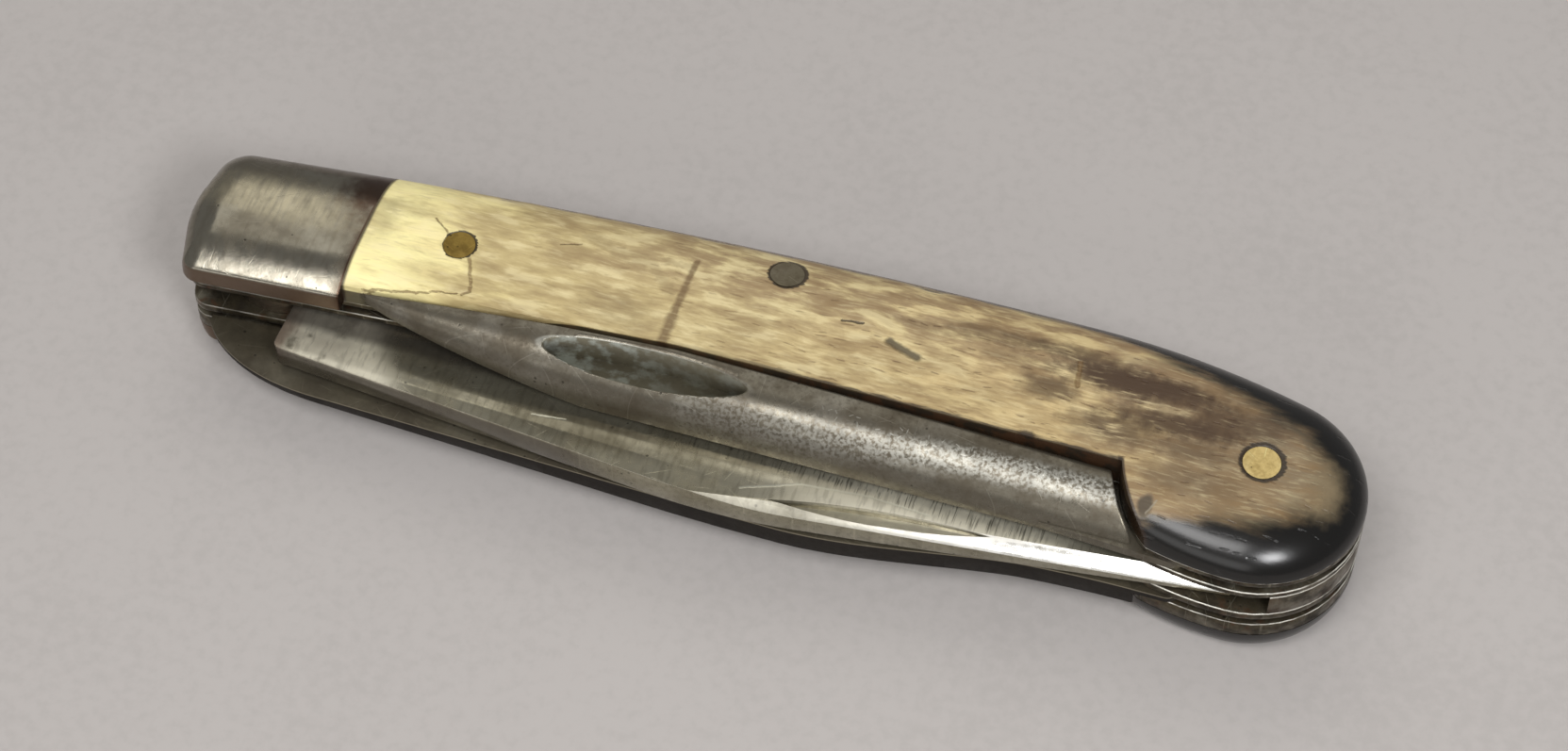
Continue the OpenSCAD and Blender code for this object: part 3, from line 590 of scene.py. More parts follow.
def newGroup(name, inputs, output):
    # a node group with named inputs and one named output
    group = bpy.data.node_groups.new(name, "ShaderNodeTree")
    for label, value in inputs.items():
        sort = "NodeSocketVector" if isinstance(value, tuple) else "NodeSocketFloat"
        group.interface.new_socket(label, in_out="INPUT", socket_type=sort).default_value = value
    group.interface.new_socket(output, in_out="OUTPUT", socket_type="NodeSocketFloat")
    start, end = group.nodes.new("NodeGroupInput"), group.nodes.new("NodeGroupOutput")
    return group, start.outputs, end.inputs[0]


def use(tree, group, **values):
    node = tree.nodes.new("ShaderNodeGroup")
    node.node_tree = group
    for label, value in values.items():
        feed(tree, value, node.inputs[label])
    return node.outputs[0]


def shifted(tree, place, seed):
    return vectorCalc(tree, "ADD", place, combine(tree, seed, calc(tree, "MULTIPLY", seed, 1.7), 0.0))


def makeLineMark():
    # distance in plan from a wobbling stretch of line, one on the line and nothing beyond its width
    g, start, end = newGroup("lineMark", dict(Place=(0.0, 0.0, 0.0), From=(0.0, 0.0, 0.0), To=(1.0, 0.0, 0.0),
                                              Width=0.2, Wobble=0.2), "Mask")
    wave = vectorCalc(g, "SUBTRACT", noiseAt(g, start["Place"], 1.6, 3.0, result=1), (0.5, 0.5, 0.5))
    spread = combine(g, start["Wobble"], start["Wobble"], 0.0)
    p = vectorCalc(g, "ADD", vectorCalc(g, "MULTIPLY", start["Place"], (1.0, 1.0, 0.0)),
                   vectorCalc(g, "MULTIPLY", wave, spread))
    way = vectorCalc(g, "SUBTRACT", start["To"], start["From"])
    off = vectorCalc(g, "SUBTRACT", p, start["From"])
    share = calc(g, "DIVIDE", vectorCalc(g, "DOT_PRODUCT", off, way, result="Value"),
                 vectorCalc(g, "DOT_PRODUCT", way, way, result="Value"), clamp=True)
    near = vectorCalc(g, "SUBTRACT", off, vectorCalc(g, "MULTIPLY", way, combine(g, share, share, share)))
    distance = vectorCalc(g, "LENGTH", near, result="Value")
    g.links.new(soften(g, distance, start["Width"], calc(g, "MULTIPLY", start["Width"], 0.25)), end)
    return g


def makeSpotMark():
    # one inside an oval whose rim wobbles, nothing outside it
    g, start, end = newGroup("spotMark", dict(Place=(0.0, 0.0, 0.0), Centre=(0.0, 0.0, 0.0), Size=(1.0, 1.0, 1.0),
                                              Wobble=0.3, Soft=0.4), "Mask")
    off = vectorCalc(g, "DIVIDE", vectorCalc(g, "SUBTRACT", start["Place"], start["Centre"]), start["Size"])
    wave = calc(g, "MULTIPLY", calc(g, "SUBTRACT", noiseAt(g, start["Place"], 0.9, 4.0), 0.5), start["Wobble"])
    radius = calc(g, "ADD", vectorCalc(g, "LENGTH", off, result="Value"), wave)
    g.links.new(soften(g, radius, calc(g, "ADD", 1.0, start["Soft"]), calc(g, "SUBTRACT", 1.0, start["Soft"])), end)
    return g


def makeStreaks():
    # noise on a place that is squeezed along x, so that its features are long and thin, and bent by a slow wave
    g, start, end = newGroup("streaks", dict(Place=(0.0, 0.0, 0.0), Length=6.0, Width=0.5, Detail=3.0, Wave=0.0,
                                             Seed=0.0), "Value")
    wave = calc(g, "MULTIPLY", calc(g, "SUBTRACT", noiseAt(g, start["Place"], 0.16, 2.0), 0.5), start["Wave"])
    place = vectorCalc(g, "ADD", start["Place"], combine(g, 0.0, wave, 0.0))
    size = combine(g, start["Length"], start["Width"], start["Width"])
    place = vectorCalc(g, "DIVIDE", place, size)
    g.links.new(noiseAt(g, shifted(g, place, start["Seed"]), 1.0, start["Detail"]), end)
    return g


def makeClouds():
    # noise of a given size, nothing below Low and one above High
    g, start, end = newGroup("clouds", dict(Place=(0.0, 0.0, 0.0), Size=4.0, Low=0.45, High=0.65, Seed=0.0), "Mask")
    value = noiseAt(g, shifted(g, start["Place"], start["Seed"]), calc(g, "DIVIDE", 1.0, start["Size"]), 5.0)
    g.links.new(soften(g, value, start["Low"], start["High"]), end)
    return g


def makeScratches():
    # plan cells, each with one straight line at its own angle and offset, or with none
    g, start, end = newGroup("scratches", dict(Place=(0.0, 0.0, 0.0), Cell=3.0, Width=0.05, Turn=0.0, Spread=3.1,
                                               Share=0.5, Seed=0.0), "Mask")
    place = vectorCalc(g, "MULTIPLY", shifted(g, start["Place"], start["Seed"]), (1.0, 1.0, 0.0))
    cell = combine(g, start["Cell"], start["Cell"], start["Cell"])
    grid = vectorCalc(g, "DIVIDE", place, cell)
    corner = vectorCalc(g, "FLOOR", grid)
    x, y, z = axes(g, vectorCalc(g, "SUBTRACT", vectorCalc(g, "SUBTRACT", grid, corner), (0.5, 0.5, 0.0)))
    luck = g.nodes.new("ShaderNodeTexWhiteNoise")
    luck.noise_dimensions = "3D"
    g.links.new(vectorCalc(g, "ADD", corner, (0.31, 0.17, 0.0)), luck.inputs["Vector"])
    a, b, c = axes(g, luck.outputs["Color"])
    angle = calc(g, "ADD", start["Turn"], calc(g, "MULTIPLY", calc(g, "SUBTRACT", a, 0.5), start["Spread"]))
    cosine, sine = calc(g, "COSINE", angle), calc(g, "SINE", angle)
    run = calc(g, "ADD", calc(g, "MULTIPLY", x, cosine), calc(g, "MULTIPLY", y, sine))
    side = calc(g, "SUBTRACT", calc(g, "MULTIPLY", y, cosine), calc(g, "MULTIPLY", x, sine))
    side = calc(g, "SUBTRACT", side, calc(g, "MULTIPLY", calc(g, "SUBTRACT", b, 0.5), 0.3))
    gap = calc(g, "MULTIPLY", calc(g, "ABSOLUTE", side), start["Cell"])
    line = soften(g, gap, start["Width"], calc(g, "MULTIPLY", start["Width"], 0.3))
    ends = soften(g, calc(g, "ABSOLUTE", run), 0.42, 0.2)
    g.links.new(times(g, line, ends, calc(g, "LESS_THAN", c, start["Share"])), end)
    return g


def makePits():
    # round dots around random points, of which only a share is kept
    g, start, end = newGroup("pits", dict(Place=(0.0, 0.0, 0.0), Cell=1.0, Radius=0.12, Share=0.4, Seed=0.0), "Mask")
    node = g.nodes.new("ShaderNodeTexVoronoi")
    g.links.new(shifted(g, start["Place"], start["Seed"]), node.inputs["Vector"])
    g.links.new(calc(g, "DIVIDE", 1.0, start["Cell"]), node.inputs["Scale"])
    gap = calc(g, "MULTIPLY", node.outputs["Distance"], start["Cell"])
    a, b, c = axes(g, node.outputs["Color"])
    radius = times(g, start["Radius"], calc(g, "ADD", 0.4, b))
    dot = soften(g, gap, radius, calc(g, "MULTIPLY", radius, 0.4))
    g.links.new(times(g, dot, calc(g, "LESS_THAN", a, start["Share"])), end)
    return g


lineMark, spotMark, streaks = makeLineMark(), makeSpotMark(), makeStreaks()
clouds, scratches, pits = makeClouds(), makeScratches(), makePits()


def markChain(tree, place, points, width, wobble):
    # one mark along several stretches of line
    parts = [use(tree, lineMark, Place=place, From=(*p, 0.0), To=(*q, 0.0), Width=width, Wobble=wobble)
             for p, q in zip(points, points[1:])]
    return highest(tree, *parts)


def startMaterial(name, metallic=0.0):
    m = bpy.data.materials.new(name)
    m.use_nodes = True
    tree = m.node_tree
    shader = tree.nodes["Principled BSDF"]
    shader.inputs["Metallic"].default_value = metallic
    source = tree.nodes.new("ShaderNodeTexCoord")
    turn = tree.nodes.new("ShaderNodeMapping")
    turn.inputs["Scale"].default_value = (1 / mm, 1 / mm, 1 / mm)
    tree.links.new(source.outputs["Object"], turn.inputs["Vector"])
    return m, tree, shader, turn.outputs[0]


def finishMaterial(tree, shader, colour, rough, height, depth):
    # depth is how far a height of one stands out, in mm
    feed(tree, colour, shader.inputs["Base Color"])
    feed(tree, rough, shader.inputs["Roughness"])
    bump = tree.nodes.new("ShaderNodeBump")
    bump.inputs["Distance"].default_value = depth * mm
    feed(tree, height, bump.inputs["Height"])
    tree.links.new(bump.outputs[0], shader.inputs["Normal"])


boneLook = dict(
    along=[(-35, (255, 243, 176)), (-28, (246, 230, 165)), (-22, (200, 181, 128)), (-12, (196, 176, 126)),
           (0, (196, 177, 128)), (14, (204, 182, 131)), (23, (204, 180, 129)), (31, (150, 128, 95)), (51, (114, 99,
                                                                                                           77))],
    darkStreak=(132, 106, 70), paleStreak=(250, 236, 186), veil=(154, 130, 100), dash=(104, 78, 48),
    crack=(112, 84, 46), scar=(108, 84, 52), brown=(66, 45, 24), edge=(42, 29, 18), dirt=(36, 29, 22), ring=(38, 28,
                                                                                                             18),
    rust=(58, 38, 24), chip=(80, 72, 61), chipEdge=(150, 142, 124),
    horn=[(-35, (122, 106, 88)), (0, (104, 88, 74)), (16, (66, 56, 48)), (30, (20, 18, 15)), (51, (9, 8, 7))],
    hornPale=(140, 124, 96), hornRough=0.23, boneRough=0.42,
    hornDepth=[(-35, 0.1), (-24, 0.7), (0, 0.8), (20, 0.9), (28, 1.4), (35, 2.5), (42, 3.6), (51, 4.0)],
    cracks=[([(-25.4, -0.1), (-25.0, -1.0), (-24.4, -2.4), (-24.2, -3.3), (-24.7, -3.8)], 0.2),
            ([(-34.6, -5.6), (-31.7, -4.9), (-28.6, -4.5), (-25.1, -3.8)], 0.1),
            ([(-29.5, 3.0), (-27.8, 1.7)], 0.12), ([(25.9, 5.1), (26.2, 2.7)], 0.3), ([(-18.6, 3.6), (-17.0, 4.2)],
                                                                                      0.12)],
    scars=[([(-7.2, 5.4), (-7.3, 2.6)], 0.4), ([(-7.3, 2.6), (-7.35, -0.5)], 0.5), ([(-7.35, -0.5), (-7.4, -3.5)],
                                                                                    0.7)],
    shades=[([(-16.5, 5.2), (-13.0, 4.3), (-10.8, 4.0)], 1.0), ([(-10.8, 4.0), (-8.3, 1.7)], 0.8),
            ([(-9.6, 4.6), (-7.6, 4.6)], 0.6)],
    gouges=[([(10.4, 2.4), (11.5, 2.0), (13.0, 1.5)], 0.55), ([(6.1, 3.3), (7.8, 3.5)], 0.16),
            ([(23.3, -3.1), (23.8, -3.1)], 0.6)],
    stains=[((-34.0, 1.6), (1.4, 2.2), 0.3), ((-31.9, 3.4), (3.4, 0.8), 0.25), ((-12.0, -1.5), (3.0, 1.6), 0.2),
            ((19.0, 5.6), (4.0, 0.8), 0.5), ((29.5, 4.3), (5.5, 1.4), 0.95), ((25.5, 5.9), (4.5, 0.8), 0.7), ((31.5,
                                                                                                               4.6),
                                                                                                              (4.4,
                                                                                                               0.9),
                                                                                                              0.9),
            ((35.0, 4.4), (3.2, 1.3), 0.8), ((34.5, 1.4), (5.0, 1.1), 0.9), ((24.0, 1.9), (2.4, 1.1), 0.7),
            ((21.0, 3.9), (3.0, 0.7), 0.3), ((30.0, -0.4), (3.4, 1.4), 0.7), ((38.0, 2.6), (2.2, 1.8), 0.8),
            ((41.5, 3.4), (2.6, 1.6), 0.7), ((36.5, -0.6), (3.0, 1.0), 0.5), ((14.0, 4.8), (3.5, 0.6), 0.35),
            ((35.6, -3.4), (2.4, 1.5), 0.35), ((39.4, -3.2), (2.4, 1.2), 0.3)])


def makeBone(name, zFlat, up, t, w, hornShare):
    # bone coloured along the handle, streaked lengthwise, marked at listed points, with a dark horn rim, partly painted
    # shade on the roll, as deep as the ramp says
    look = boneLook
    m, tree, shader, place = startMaterial(name)
    x, y, z = axes(tree, place)
    rise = calc(tree, "DIVIDE", calc(tree, "MULTIPLY", calc(tree, "SUBTRACT", z, zFlat), up), t, clamp=True)
    drop = calc(tree, "SQRT", calc(tree, "SUBTRACT", 1.0, calc(tree, "MULTIPLY", rise, rise)))
    inset = calc(tree, "MULTIPLY", calc(tree, "SUBTRACT", 1.0, drop), w)  # plan distance from the rolled edge
    fine = use(tree, streaks, Place=place, Length=1.8, Width=0.24, Detail=4.0, Wave=0.8, Seed=3.0)
    middle = use(tree, streaks, Place=place, Length=3.4, Width=1.05, Detail=6.0, Wave=1.2, Seed=11.0)
    broad = use(tree, streaks, Place=place, Length=9.0, Width=3.0, Detail=4.0, Wave=2.0, Seed=23.0)
    drift = calc(tree, "MULTIPLY", calc(tree, "SUBTRACT", broad, 0.5), 42.0)
    stops = [(where, screen(*c)) for where, c in look["along"]]
    colour = along(tree, calc(tree, "ADD", x, drift), stops, -35.0, 51.0)

    # a grey-brown veil near the back, streaks, and short dark dashes
    right = soften(tree, x, -26.0, 0.0)
    veil = times(tree, soften(tree, y, -1.0, 6.0), right, soften(tree, middle, 0.38, 0.58))
    colour = paint(tree, times(tree, veil, 0.7), colour, screen(*look["veil"]))
    colour = paint(tree, times(tree, soften(tree, middle, 0.46, 0.72), soften(tree, x, -32.0, 26.0, 0.3, 0.68)), colour,
                   screen(*look["darkStreak"]))
    patchy = use(tree, streaks, Place=place, Length=7.0, Width=2.2, Detail=3.0, Wave=2.0, Seed=47.0)
    patchy = times(tree, soften(tree, patchy, 0.46, 0.62), soften(tree, x, -32.0, -20.0, 0.1, 0.4))
    colour = paint(tree, patchy, colour, screen(*look["darkStreak"]))
    colour = paint(tree, times(tree, soften(tree, fine, 0.5, 0.68), soften(tree, x, -34.0, 20.0, 0.15, 0.35)), colour,
                   screen(*look["darkStreak"]))
    paler = times(tree, soften(tree, middle, 0.5, 0.34), soften(tree, x, -5.0, 40.0, 0.36, 0.1))
    colour = paint(tree, paler, colour, screen(*look["paleStreak"]))
    colour = paint(tree, times(tree, soften(tree, fine, 0.47, 0.34), 0.16), colour, screen(*look["paleStreak"]))
    dashes = highest(tree, use(tree, scratches, Place=place, Cell=1.1, Width=0.1, Turn=0.0, Spread=0.5, Share=0.25),
                     use(tree, scratches, Place=place, Cell=1.9, Width=0.12, Turn=0.0, Spread=0.4, Share=0.25,
                         Seed=40.0))
    dashes = times(tree, dashes, soften(tree, x, -30.0, 15.0, 0.25, 0.9), soften(tree, fine, 0.38, 0.55))
    colour = paint(tree, times(tree, dashes, 0.6), colour, screen(*look["dash"]))

    # brown stains lie in streaks
    breakUp = calc(tree, "ADD", times(tree, middle, 0.6), times(tree, fine, 0.4))
    for (cx, cy), (sx, sy), amount in look["stains"]:
        spot = use(tree, spotMark, Place=place, Centre=(cx, cy, zFlat + up * t), Size=(sx, sy, 9.0), Wobble=1.2,
                   Soft=0.6)
        colour = paint(tree, times(tree, spot, soften(tree, breakUp, 0.3, 0.47), amount), colour,
                       screen(*look["brown"]))

    # cracks, scars, shades and gouges
    broken = soften(tree, fine, 0.3, 0.52, 0.35, 1.0)
    cracks = highest(tree, *[markChain(tree, place, p, width, 0.35) for p, width in look["cracks"]])
    scars = highest(tree, *[markChain(tree, place, p, width, 0.4) for p, width in look["scars"]])
    shades = highest(tree, *[markChain(tree, place, p, width, 1.2) for p, width in look["shades"]])
    gouges = highest(tree, *[markChain(tree, place, p, width, 0.3) for p, width in look["gouges"]])
    colour = paint(tree, times(tree, shades, 0.28), colour, screen(*look["scar"]))
    colour = paint(tree, times(tree, scars, soften(tree, fine, 0.3, 0.5, 0.7, 1.0), 0.8), colour, screen(*look["scar"]))
    colour = paint(tree, times(tree, cracks, broken, 0.7), colour, screen(*look["crack"]))
    colour = paint(tree, times(tree, gouges, 0.8), colour, screen(*look["dirt"]))

    # the dark horn rim, partly painted shade where the roll falls away along the back, deeper towards the butt, ends in
    # streaks
    depth = along(tree, x, [(where, d / 6) for where, d in look["hornDepth"]], -35.0, 51.0)
    lower = soften(tree, y, -3.0, -4.5)
    fewer = calc(tree, "SUBTRACT", 1.0, times(tree, lower, soften(tree, x, 40.0, 33.0, 0.0, 0.45)))
    depth = times(tree, depth, 6.0, hornShare, fewer)
    uneven = calc(tree, "ADD", inset, times(tree, calc(tree, "SUBTRACT", middle, 0.5), 2.6))
    side = highest(tree, soften(tree, y, -1.0, 1.0), soften(tree, calc(tree, "SUBTRACT", x, buttX - stepR), 0.6, 1.2))
    # painted shade: the dark rim also darkens the rolled back edge, thinly at the left, where the roll falls away
    horn = times(tree, soften(tree, uneven, times(tree, depth, 1.5), times(tree, depth, 0.7)), side,
                 soften(tree, x, -35.0, -28.0))
    hornAndShadeColour = along(tree, x, [(where, screen(*c)) for where, c in look["horn"]], -35.0, 51.0)
    pale = use(tree, spotMark, Place=place, Centre=(47.0, -0.9, zFlat + up * t), Size=(1.9, 2.5, 9.0), Wobble=0.8,
               Soft=0.6)
    hornAndShadeColour = paint(tree, times(tree, pale, 0.8), hornAndShadeColour, screen(*look["hornPale"]))
    colour = paint(tree, horn, colour, hornAndShadeColour)

    # the cut-away's wall darkened brown and rust-brown, a dark line along its edge, painted shade in the gap at the
    # step, a chip, a dark joint at the bolster and dirt around the pins
    bend = calc(tree, "MULTIPLY", calc(tree, "MAXIMUM", calc(tree, "SUBTRACT", handle["cutBendX"], x), 0.0), cutSlope)
    offCut = calc(tree, "ADD", calc(tree, "ADD", y, handle["cutY"]), bend)
    level = calc(tree, "MULTIPLY", calc(tree, "SUBTRACT", z, zFlat + up * t), up)
    level = calc(tree, "ADD", level, soften(tree, x, handle["cutBendX"] - 8.0, handle["cutBendX"] - 16.0, 0.0,
                                            t * (1 - handle["lowWall"])))  # the rolled front edge isn't the wall
    above = soften(tree, offCut, -0.6, -0.4)
    wall = times(tree, soften(tree, offCut, 0.3, 0.05), soften(tree, level, -0.02, -0.2), soften(tree, x,
                                                                                                 stepTopX + 0.3,
                                                                                                 stepTopX), above)
    frayed = calc(tree, "ADD", offCut, times(tree, calc(tree, "SUBTRACT", fine, 0.5), 0.9))
    edge = times(tree, soften(tree, frayed, 0.4, 0.05), soften(tree, x, -12.0, 8.0, 0.1, 0.9),
                 soften(tree, x, stepTopX + 0.1, stepTopX - 0.1), above)
    colour = paint(tree, edge, colour, screen(*look["edge"]))
    wallMottle = use(tree, clouds, Place=place, Size=1.6, Low=0.42, High=0.58, Seed=7.0)
    colour = paint(tree, times(tree, wall, 0.92), colour, paint(tree, wallMottle, screen(*look["dirt"]),
                                                                screen(*look["rust"])))
    stepGap = calc(tree, "SUBTRACT", vectorCalc(tree, "LENGTH", vectorCalc(tree, "MULTIPLY", vectorCalc(
        tree, "SUBTRACT", place, (buttX, 0.0, 0.0)), (1.0, 1.0, 0.0)), result="Value"), stepR)
    # painted shade: the bone darkens around the step's round, in the gap before the spike's end
    paintedStepShade = times(tree, soften(tree, stepGap, -0.28, -0.08), soften(tree, stepGap, 0.4, 0.2),
                     soften(tree, x, 35.6, 34.6), soften(tree, y, -2.6, -3.1))
    colour = paint(tree, times(tree, paintedStepShade, 0.9), colour, screen(*look["edge"]))
    chip = use(tree, spotMark, Place=place, Centre=(34.3, -6.4, zFlat + up * t), Size=(0.6, 0.85, 9.0), Wobble=0.6,
               Soft=0.3)
    chipRim = use(tree, lineMark, Place=place, From=(35.1, -5.9, 0.0), To=(34.5, -7.0, 0.0), Width=0.12, Wobble=0.2)
    colour = paint(tree, times(tree, chip, 0.9), colour, screen(*look["chip"]))
    colour = paint(tree, times(tree, chipRim, 0.6), colour, screen(*look["chipEdge"]))
    seam = soften(tree, x, seamX + 0.35, seamX + 0.08)
    colour = paint(tree, times(tree, seam, 0.9), colour, screen(*look["edge"]))
    rings = []
    for pin, reach in (("buttPin", 0.5), ("springPin", 0.34), ("rivet", 0.16)):
        p = pins[pin]
        gap = vectorCalc(tree, "LENGTH", vectorCalc(tree, "MULTIPLY", vectorCalc(
            tree, "SUBTRACT", place, (p["x"] + 0.06, p["y"] + 0.04, 0.0)), (1.0, 1.0, 0.0)), result="Value")
        rings.append(soften(tree, calc(tree, "ADD", gap, times(tree, calc(tree, "SUBTRACT", fine, 0.5), 0.6)),
                            p["r"] + reach, p["r"] + reach * 0.55))
    rings = highest(tree, *rings)
    colour = paint(tree, times(tree, rings, 0.92), colour, screen(*look["ring"]))

    rough = calc(tree, "ADD", look["boneRough"], times(tree, calc(tree, "SUBTRACT", fine, 0.5), 0.25))
    rough = calc(tree, "ADD", times(tree, rough, calc(tree, "SUBTRACT", 1.0, horn)), times(tree, horn,
                                                                                           look["hornRough"]))
    rough = calc(tree, "ADD", rough, times(tree, chip, 0.4))
    height = calc(tree, "ADD", times(tree, fine, 0.6), times(tree, middle, 0.9))
    height = times(tree, height, calc(tree, "SUBTRACT", 1.0, times(tree, horn, 0.85)))
    height = calc(tree, "SUBTRACT", height, calc(tree, "ADD", times(tree, cracks, 2.0), times(tree, dashes, 0.8)))
    height = calc(tree, "SUBTRACT", height, calc(tree, "ADD", times(tree, gouges, 3.0), times(tree, scars, 1.0)))
    height = calc(tree, "SUBTRACT", height, calc(tree, "ADD", times(tree, rings, 1.5), times(tree, chip, 1.2)))
    finishMaterial(tree, shader, colour, rough, height, 0.035)
    return m


frontBone = makeBone("frontBone", layers["frontScale"], 1, scaleShape["frontT"], scaleShape["frontRoll"], 1.0)
backBone = makeBone("backBone", layers["backLiner"], -1, scaleShape["backT"], scaleShape["backRoll"], 0.8)

metalLook = dict(
    bolster=dict(metal=0.94, base=(140, 136, 124), tarnish=(108, 100, 85), patch=(152, 148, 134), rough=0.17,
                 cloud=6.0, amount=0.5,
                 scratch=0.15, pit=0.2, depth=0.004),
    blade=dict(metal=0.8, base=(162, 157, 138), tarnish=(118, 111, 90), patch=(174, 170, 151), rough=0.14,
               cloud=5.0, amount=0.5,
               scratch=0.2, pit=0.35, depth=0.003),
    spike=dict(metal=0.73, base=(108, 103, 91), tarnish=(80, 71, 57), patch=(134, 130, 120), rough=0.3, cloud=4.0,
               amount=0.6,
               scratch=0.18, pit=0.5, depth=0.006),
    backBlade=dict(metal=0.6, base=(94, 88, 73), tarnish=(62, 55, 44), patch=(112, 107, 93), rough=0.34, cloud=4.0,
                   amount=0.7,
                   scratch=0.2, pit=0.5, depth=0.006),
    liner=dict(metal=0.8, base=(92, 84, 67), tarnish=(38, 32, 25), patch=(156, 152, 136), rough=0.3, cloud=2.4,
               amount=0.8,
               scratch=0.2, pit=0.4, depth=0.006),
    spring=dict(metal=0.8, base=(112, 106, 92), tarnish=(78, 56, 38), patch=(140, 136, 124), rough=0.3, cloud=2.2,
                amount=0.7,
                scratch=0.2, pit=0.5, depth=0.006),
    pinBrass=dict(metal=0.9, base=(204, 182, 124), tarnish=(168, 140, 80), patch=(222, 204, 152), rough=0.3,
                  cloud=1.6, amount=0.4,
                  scratch=0.35, pit=0.2, depth=0.004),
    rivetBrass=dict(metal=0.8, base=(144, 120, 58), tarnish=(108, 86, 38), patch=(160, 134, 70), rough=0.45,
                    cloud=1.4, amount=0.5,
                    scratch=0.25, pit=0.4, depth=0.004),
    pinSteel=dict(metal=0.8, base=(124, 116, 96), tarnish=(92, 82, 64), patch=(142, 134, 116), rough=0.42,
                  cloud=1.4, amount=0.5,
                  scratch=0.3, pit=0.5, depth=0.005))


def makeMetal(name, look, extra=None):
    # worn metal: cloudy tarnish, lighter rubbed patches, scratches at many angles and small dark pits
    m, tree, shader, place = startMaterial(name, look["metal"])
    tarnish = use(tree, clouds, Place=place, Size=look["cloud"], Low=0.42, High=0.66, Seed=2.0)
    grit = use(tree, clouds, Place=place, Size=look["cloud"] * 0.16, Low=0.4, High=0.7, Seed=9.0)
    rubbed = use(tree, clouds, Place=place, Size=look["cloud"] * 1.3, Low=0.5, High=0.72, Seed=31.0)
    dots = use(tree, pits, Place=place, Cell=0.9, Radius=0.13, Share=look["pit"])
    lines = highest(
        tree, use(tree, scratches, Place=place, Cell=3.4, Width=0.05, Turn=0.5, Spread=2.6, Share=0.7),
        use(tree, scratches, Place=place, Cell=1.9, Width=0.035, Turn=0.9, Spread=3.1, Share=0.6, Seed=17.0),
        use(tree, scratches, Place=place, Cell=5.3, Width=0.05, Turn=-0.2, Spread=1.4, Share=0.6, Seed=37.0))
    colour = paint(tree, times(tree, tarnish, look["amount"]), screen(*look["base"]), screen(*look["tarnish"]))
    colour = paint(tree, times(tree, grit, look["amount"] * 0.5), colour, screen(*look["tarnish"]))
    colour = paint(tree, times(tree, rubbed, 0.5), colour, screen(*look["patch"]))
    colour = paint(tree, times(tree, dots, 0.7), colour, screen(*[v * 0.45 for v in look["tarnish"]]))
    colour = paint(tree, times(tree, lines, look["scratch"]), colour, screen(*[min(255,
                                                                                   v * 1.25) for v in look["patch"]]))
    rough = calc(tree, "ADD", look["rough"], calc(tree, "ADD", times(tree, tarnish, 0.12), times(tree, grit, 0.08)))
    height = calc(tree, "SUBTRACT", times(tree, grit, 0.7), calc(tree, "ADD", times(tree, lines, 0.8), times(tree,
                                                                                                             dots,
                                                                                                             2.0)))
    if extra:
        colour, rough, height = extra(tree, place, colour, rough, height)
    finishMaterial(tree, shader, colour, rough, height, look["depth"])
    return m


bolsterMarks = dict(rust=(66, 42, 30), pale=(178, 170, 146), wall=(106, 86, 70), seamWidth=0.9, wallTop=12.85)


def bolsterExtra(tree, place, colour, rough, height):
    # brown along the seam, the back edge and the low wall, and a painted reflection, a pale cloud, on the top
    look = bolsterMarks
    x, y, z = axes(tree, place)
    grain = noiseAt(tree, place, 1.1, 4.0)
    corner = use(tree, spotMark, Place=place, Centre=(-35.2, 5.4, 14.0), Size=(2.9, 4.4, 9.0), Wobble=1.4, Soft=0.55)
    seam = times(tree, soften(tree, calc(tree, "ADD", x, times(tree, calc(tree, "SUBTRACT", grain, 0.5), 1.2)),
                              seamX - look["seamWidth"], seamX + 0.2), 0.7)
    line = soften(tree, x, seamX - 0.28, seamX - 0.08)
    wall = times(tree, soften(tree, z, look["wallTop"] + 0.2, look["wallTop"]), soften(tree, y, 0.0, -3.0))
    back = soften(tree, calc(tree, "ADD", y, times(tree, grain, 1.6)), 5.2, 7.2)
    brushed = use(tree, streaks, Place=combine(tree, y, x, z), Length=3.0, Width=0.4, Detail=4.0, Seed=14.0)
    # painted reflection: a pale cloud on the top where a light patch is reflected
    cloud = use(tree, spotMark, Place=place, Centre=(-43.0, 0.9, 14.0), Size=(6.4, 1.9, 9.0), Wobble=1.2, Soft=0.7)
    cloud = times(tree, cloud, soften(tree, brushed, 0.25, 0.65, 0.35, 1.0))
    colour = paint(tree, times(tree, soften(tree, brushed, 0.46, 0.7), 0.3), colour,
                   screen(*metalLook["bolster"]["tarnish"]))
    colour = paint(tree, times(tree, cloud, 0.85), colour, screen(*look["pale"]))
    colour = paint(tree, times(tree, wall, 0.85), colour, screen(*look["wall"]))
    colour = paint(tree, times(tree, highest(tree, corner, seam, times(tree, back, 0.6), line), 0.85), colour,
                   screen(*look["rust"]))
    return colour, calc(tree, "ADD", rough, times(tree, wall, 0.15)), height


bladeMarks = dict(dark=(70, 62, 42), rust=(92, 56, 34), hatch=(72, 68, 54), pale=(206, 204, 186), rubbed=(212, 210,
                                                                                                          204),
                  dull=(222, 217, 198), side=(92, 86, 78), arcs=[
    ([(2.0, -11.6), (6.7, -9.8), (12.2, -9.3), (17.4, -9.5)], 0.14), ([(-16.6, -9.9), (-15.4, -9.8), (-13.8, -9.6)],
                                                                      0.14)])


def wearAndSheenShare(tree):
    # the value that dressed gave each face
    node = tree.nodes.new("ShaderNodeAttribute")
    node.attribute_name = "rubbed"
    return node.outputs["Fac"]


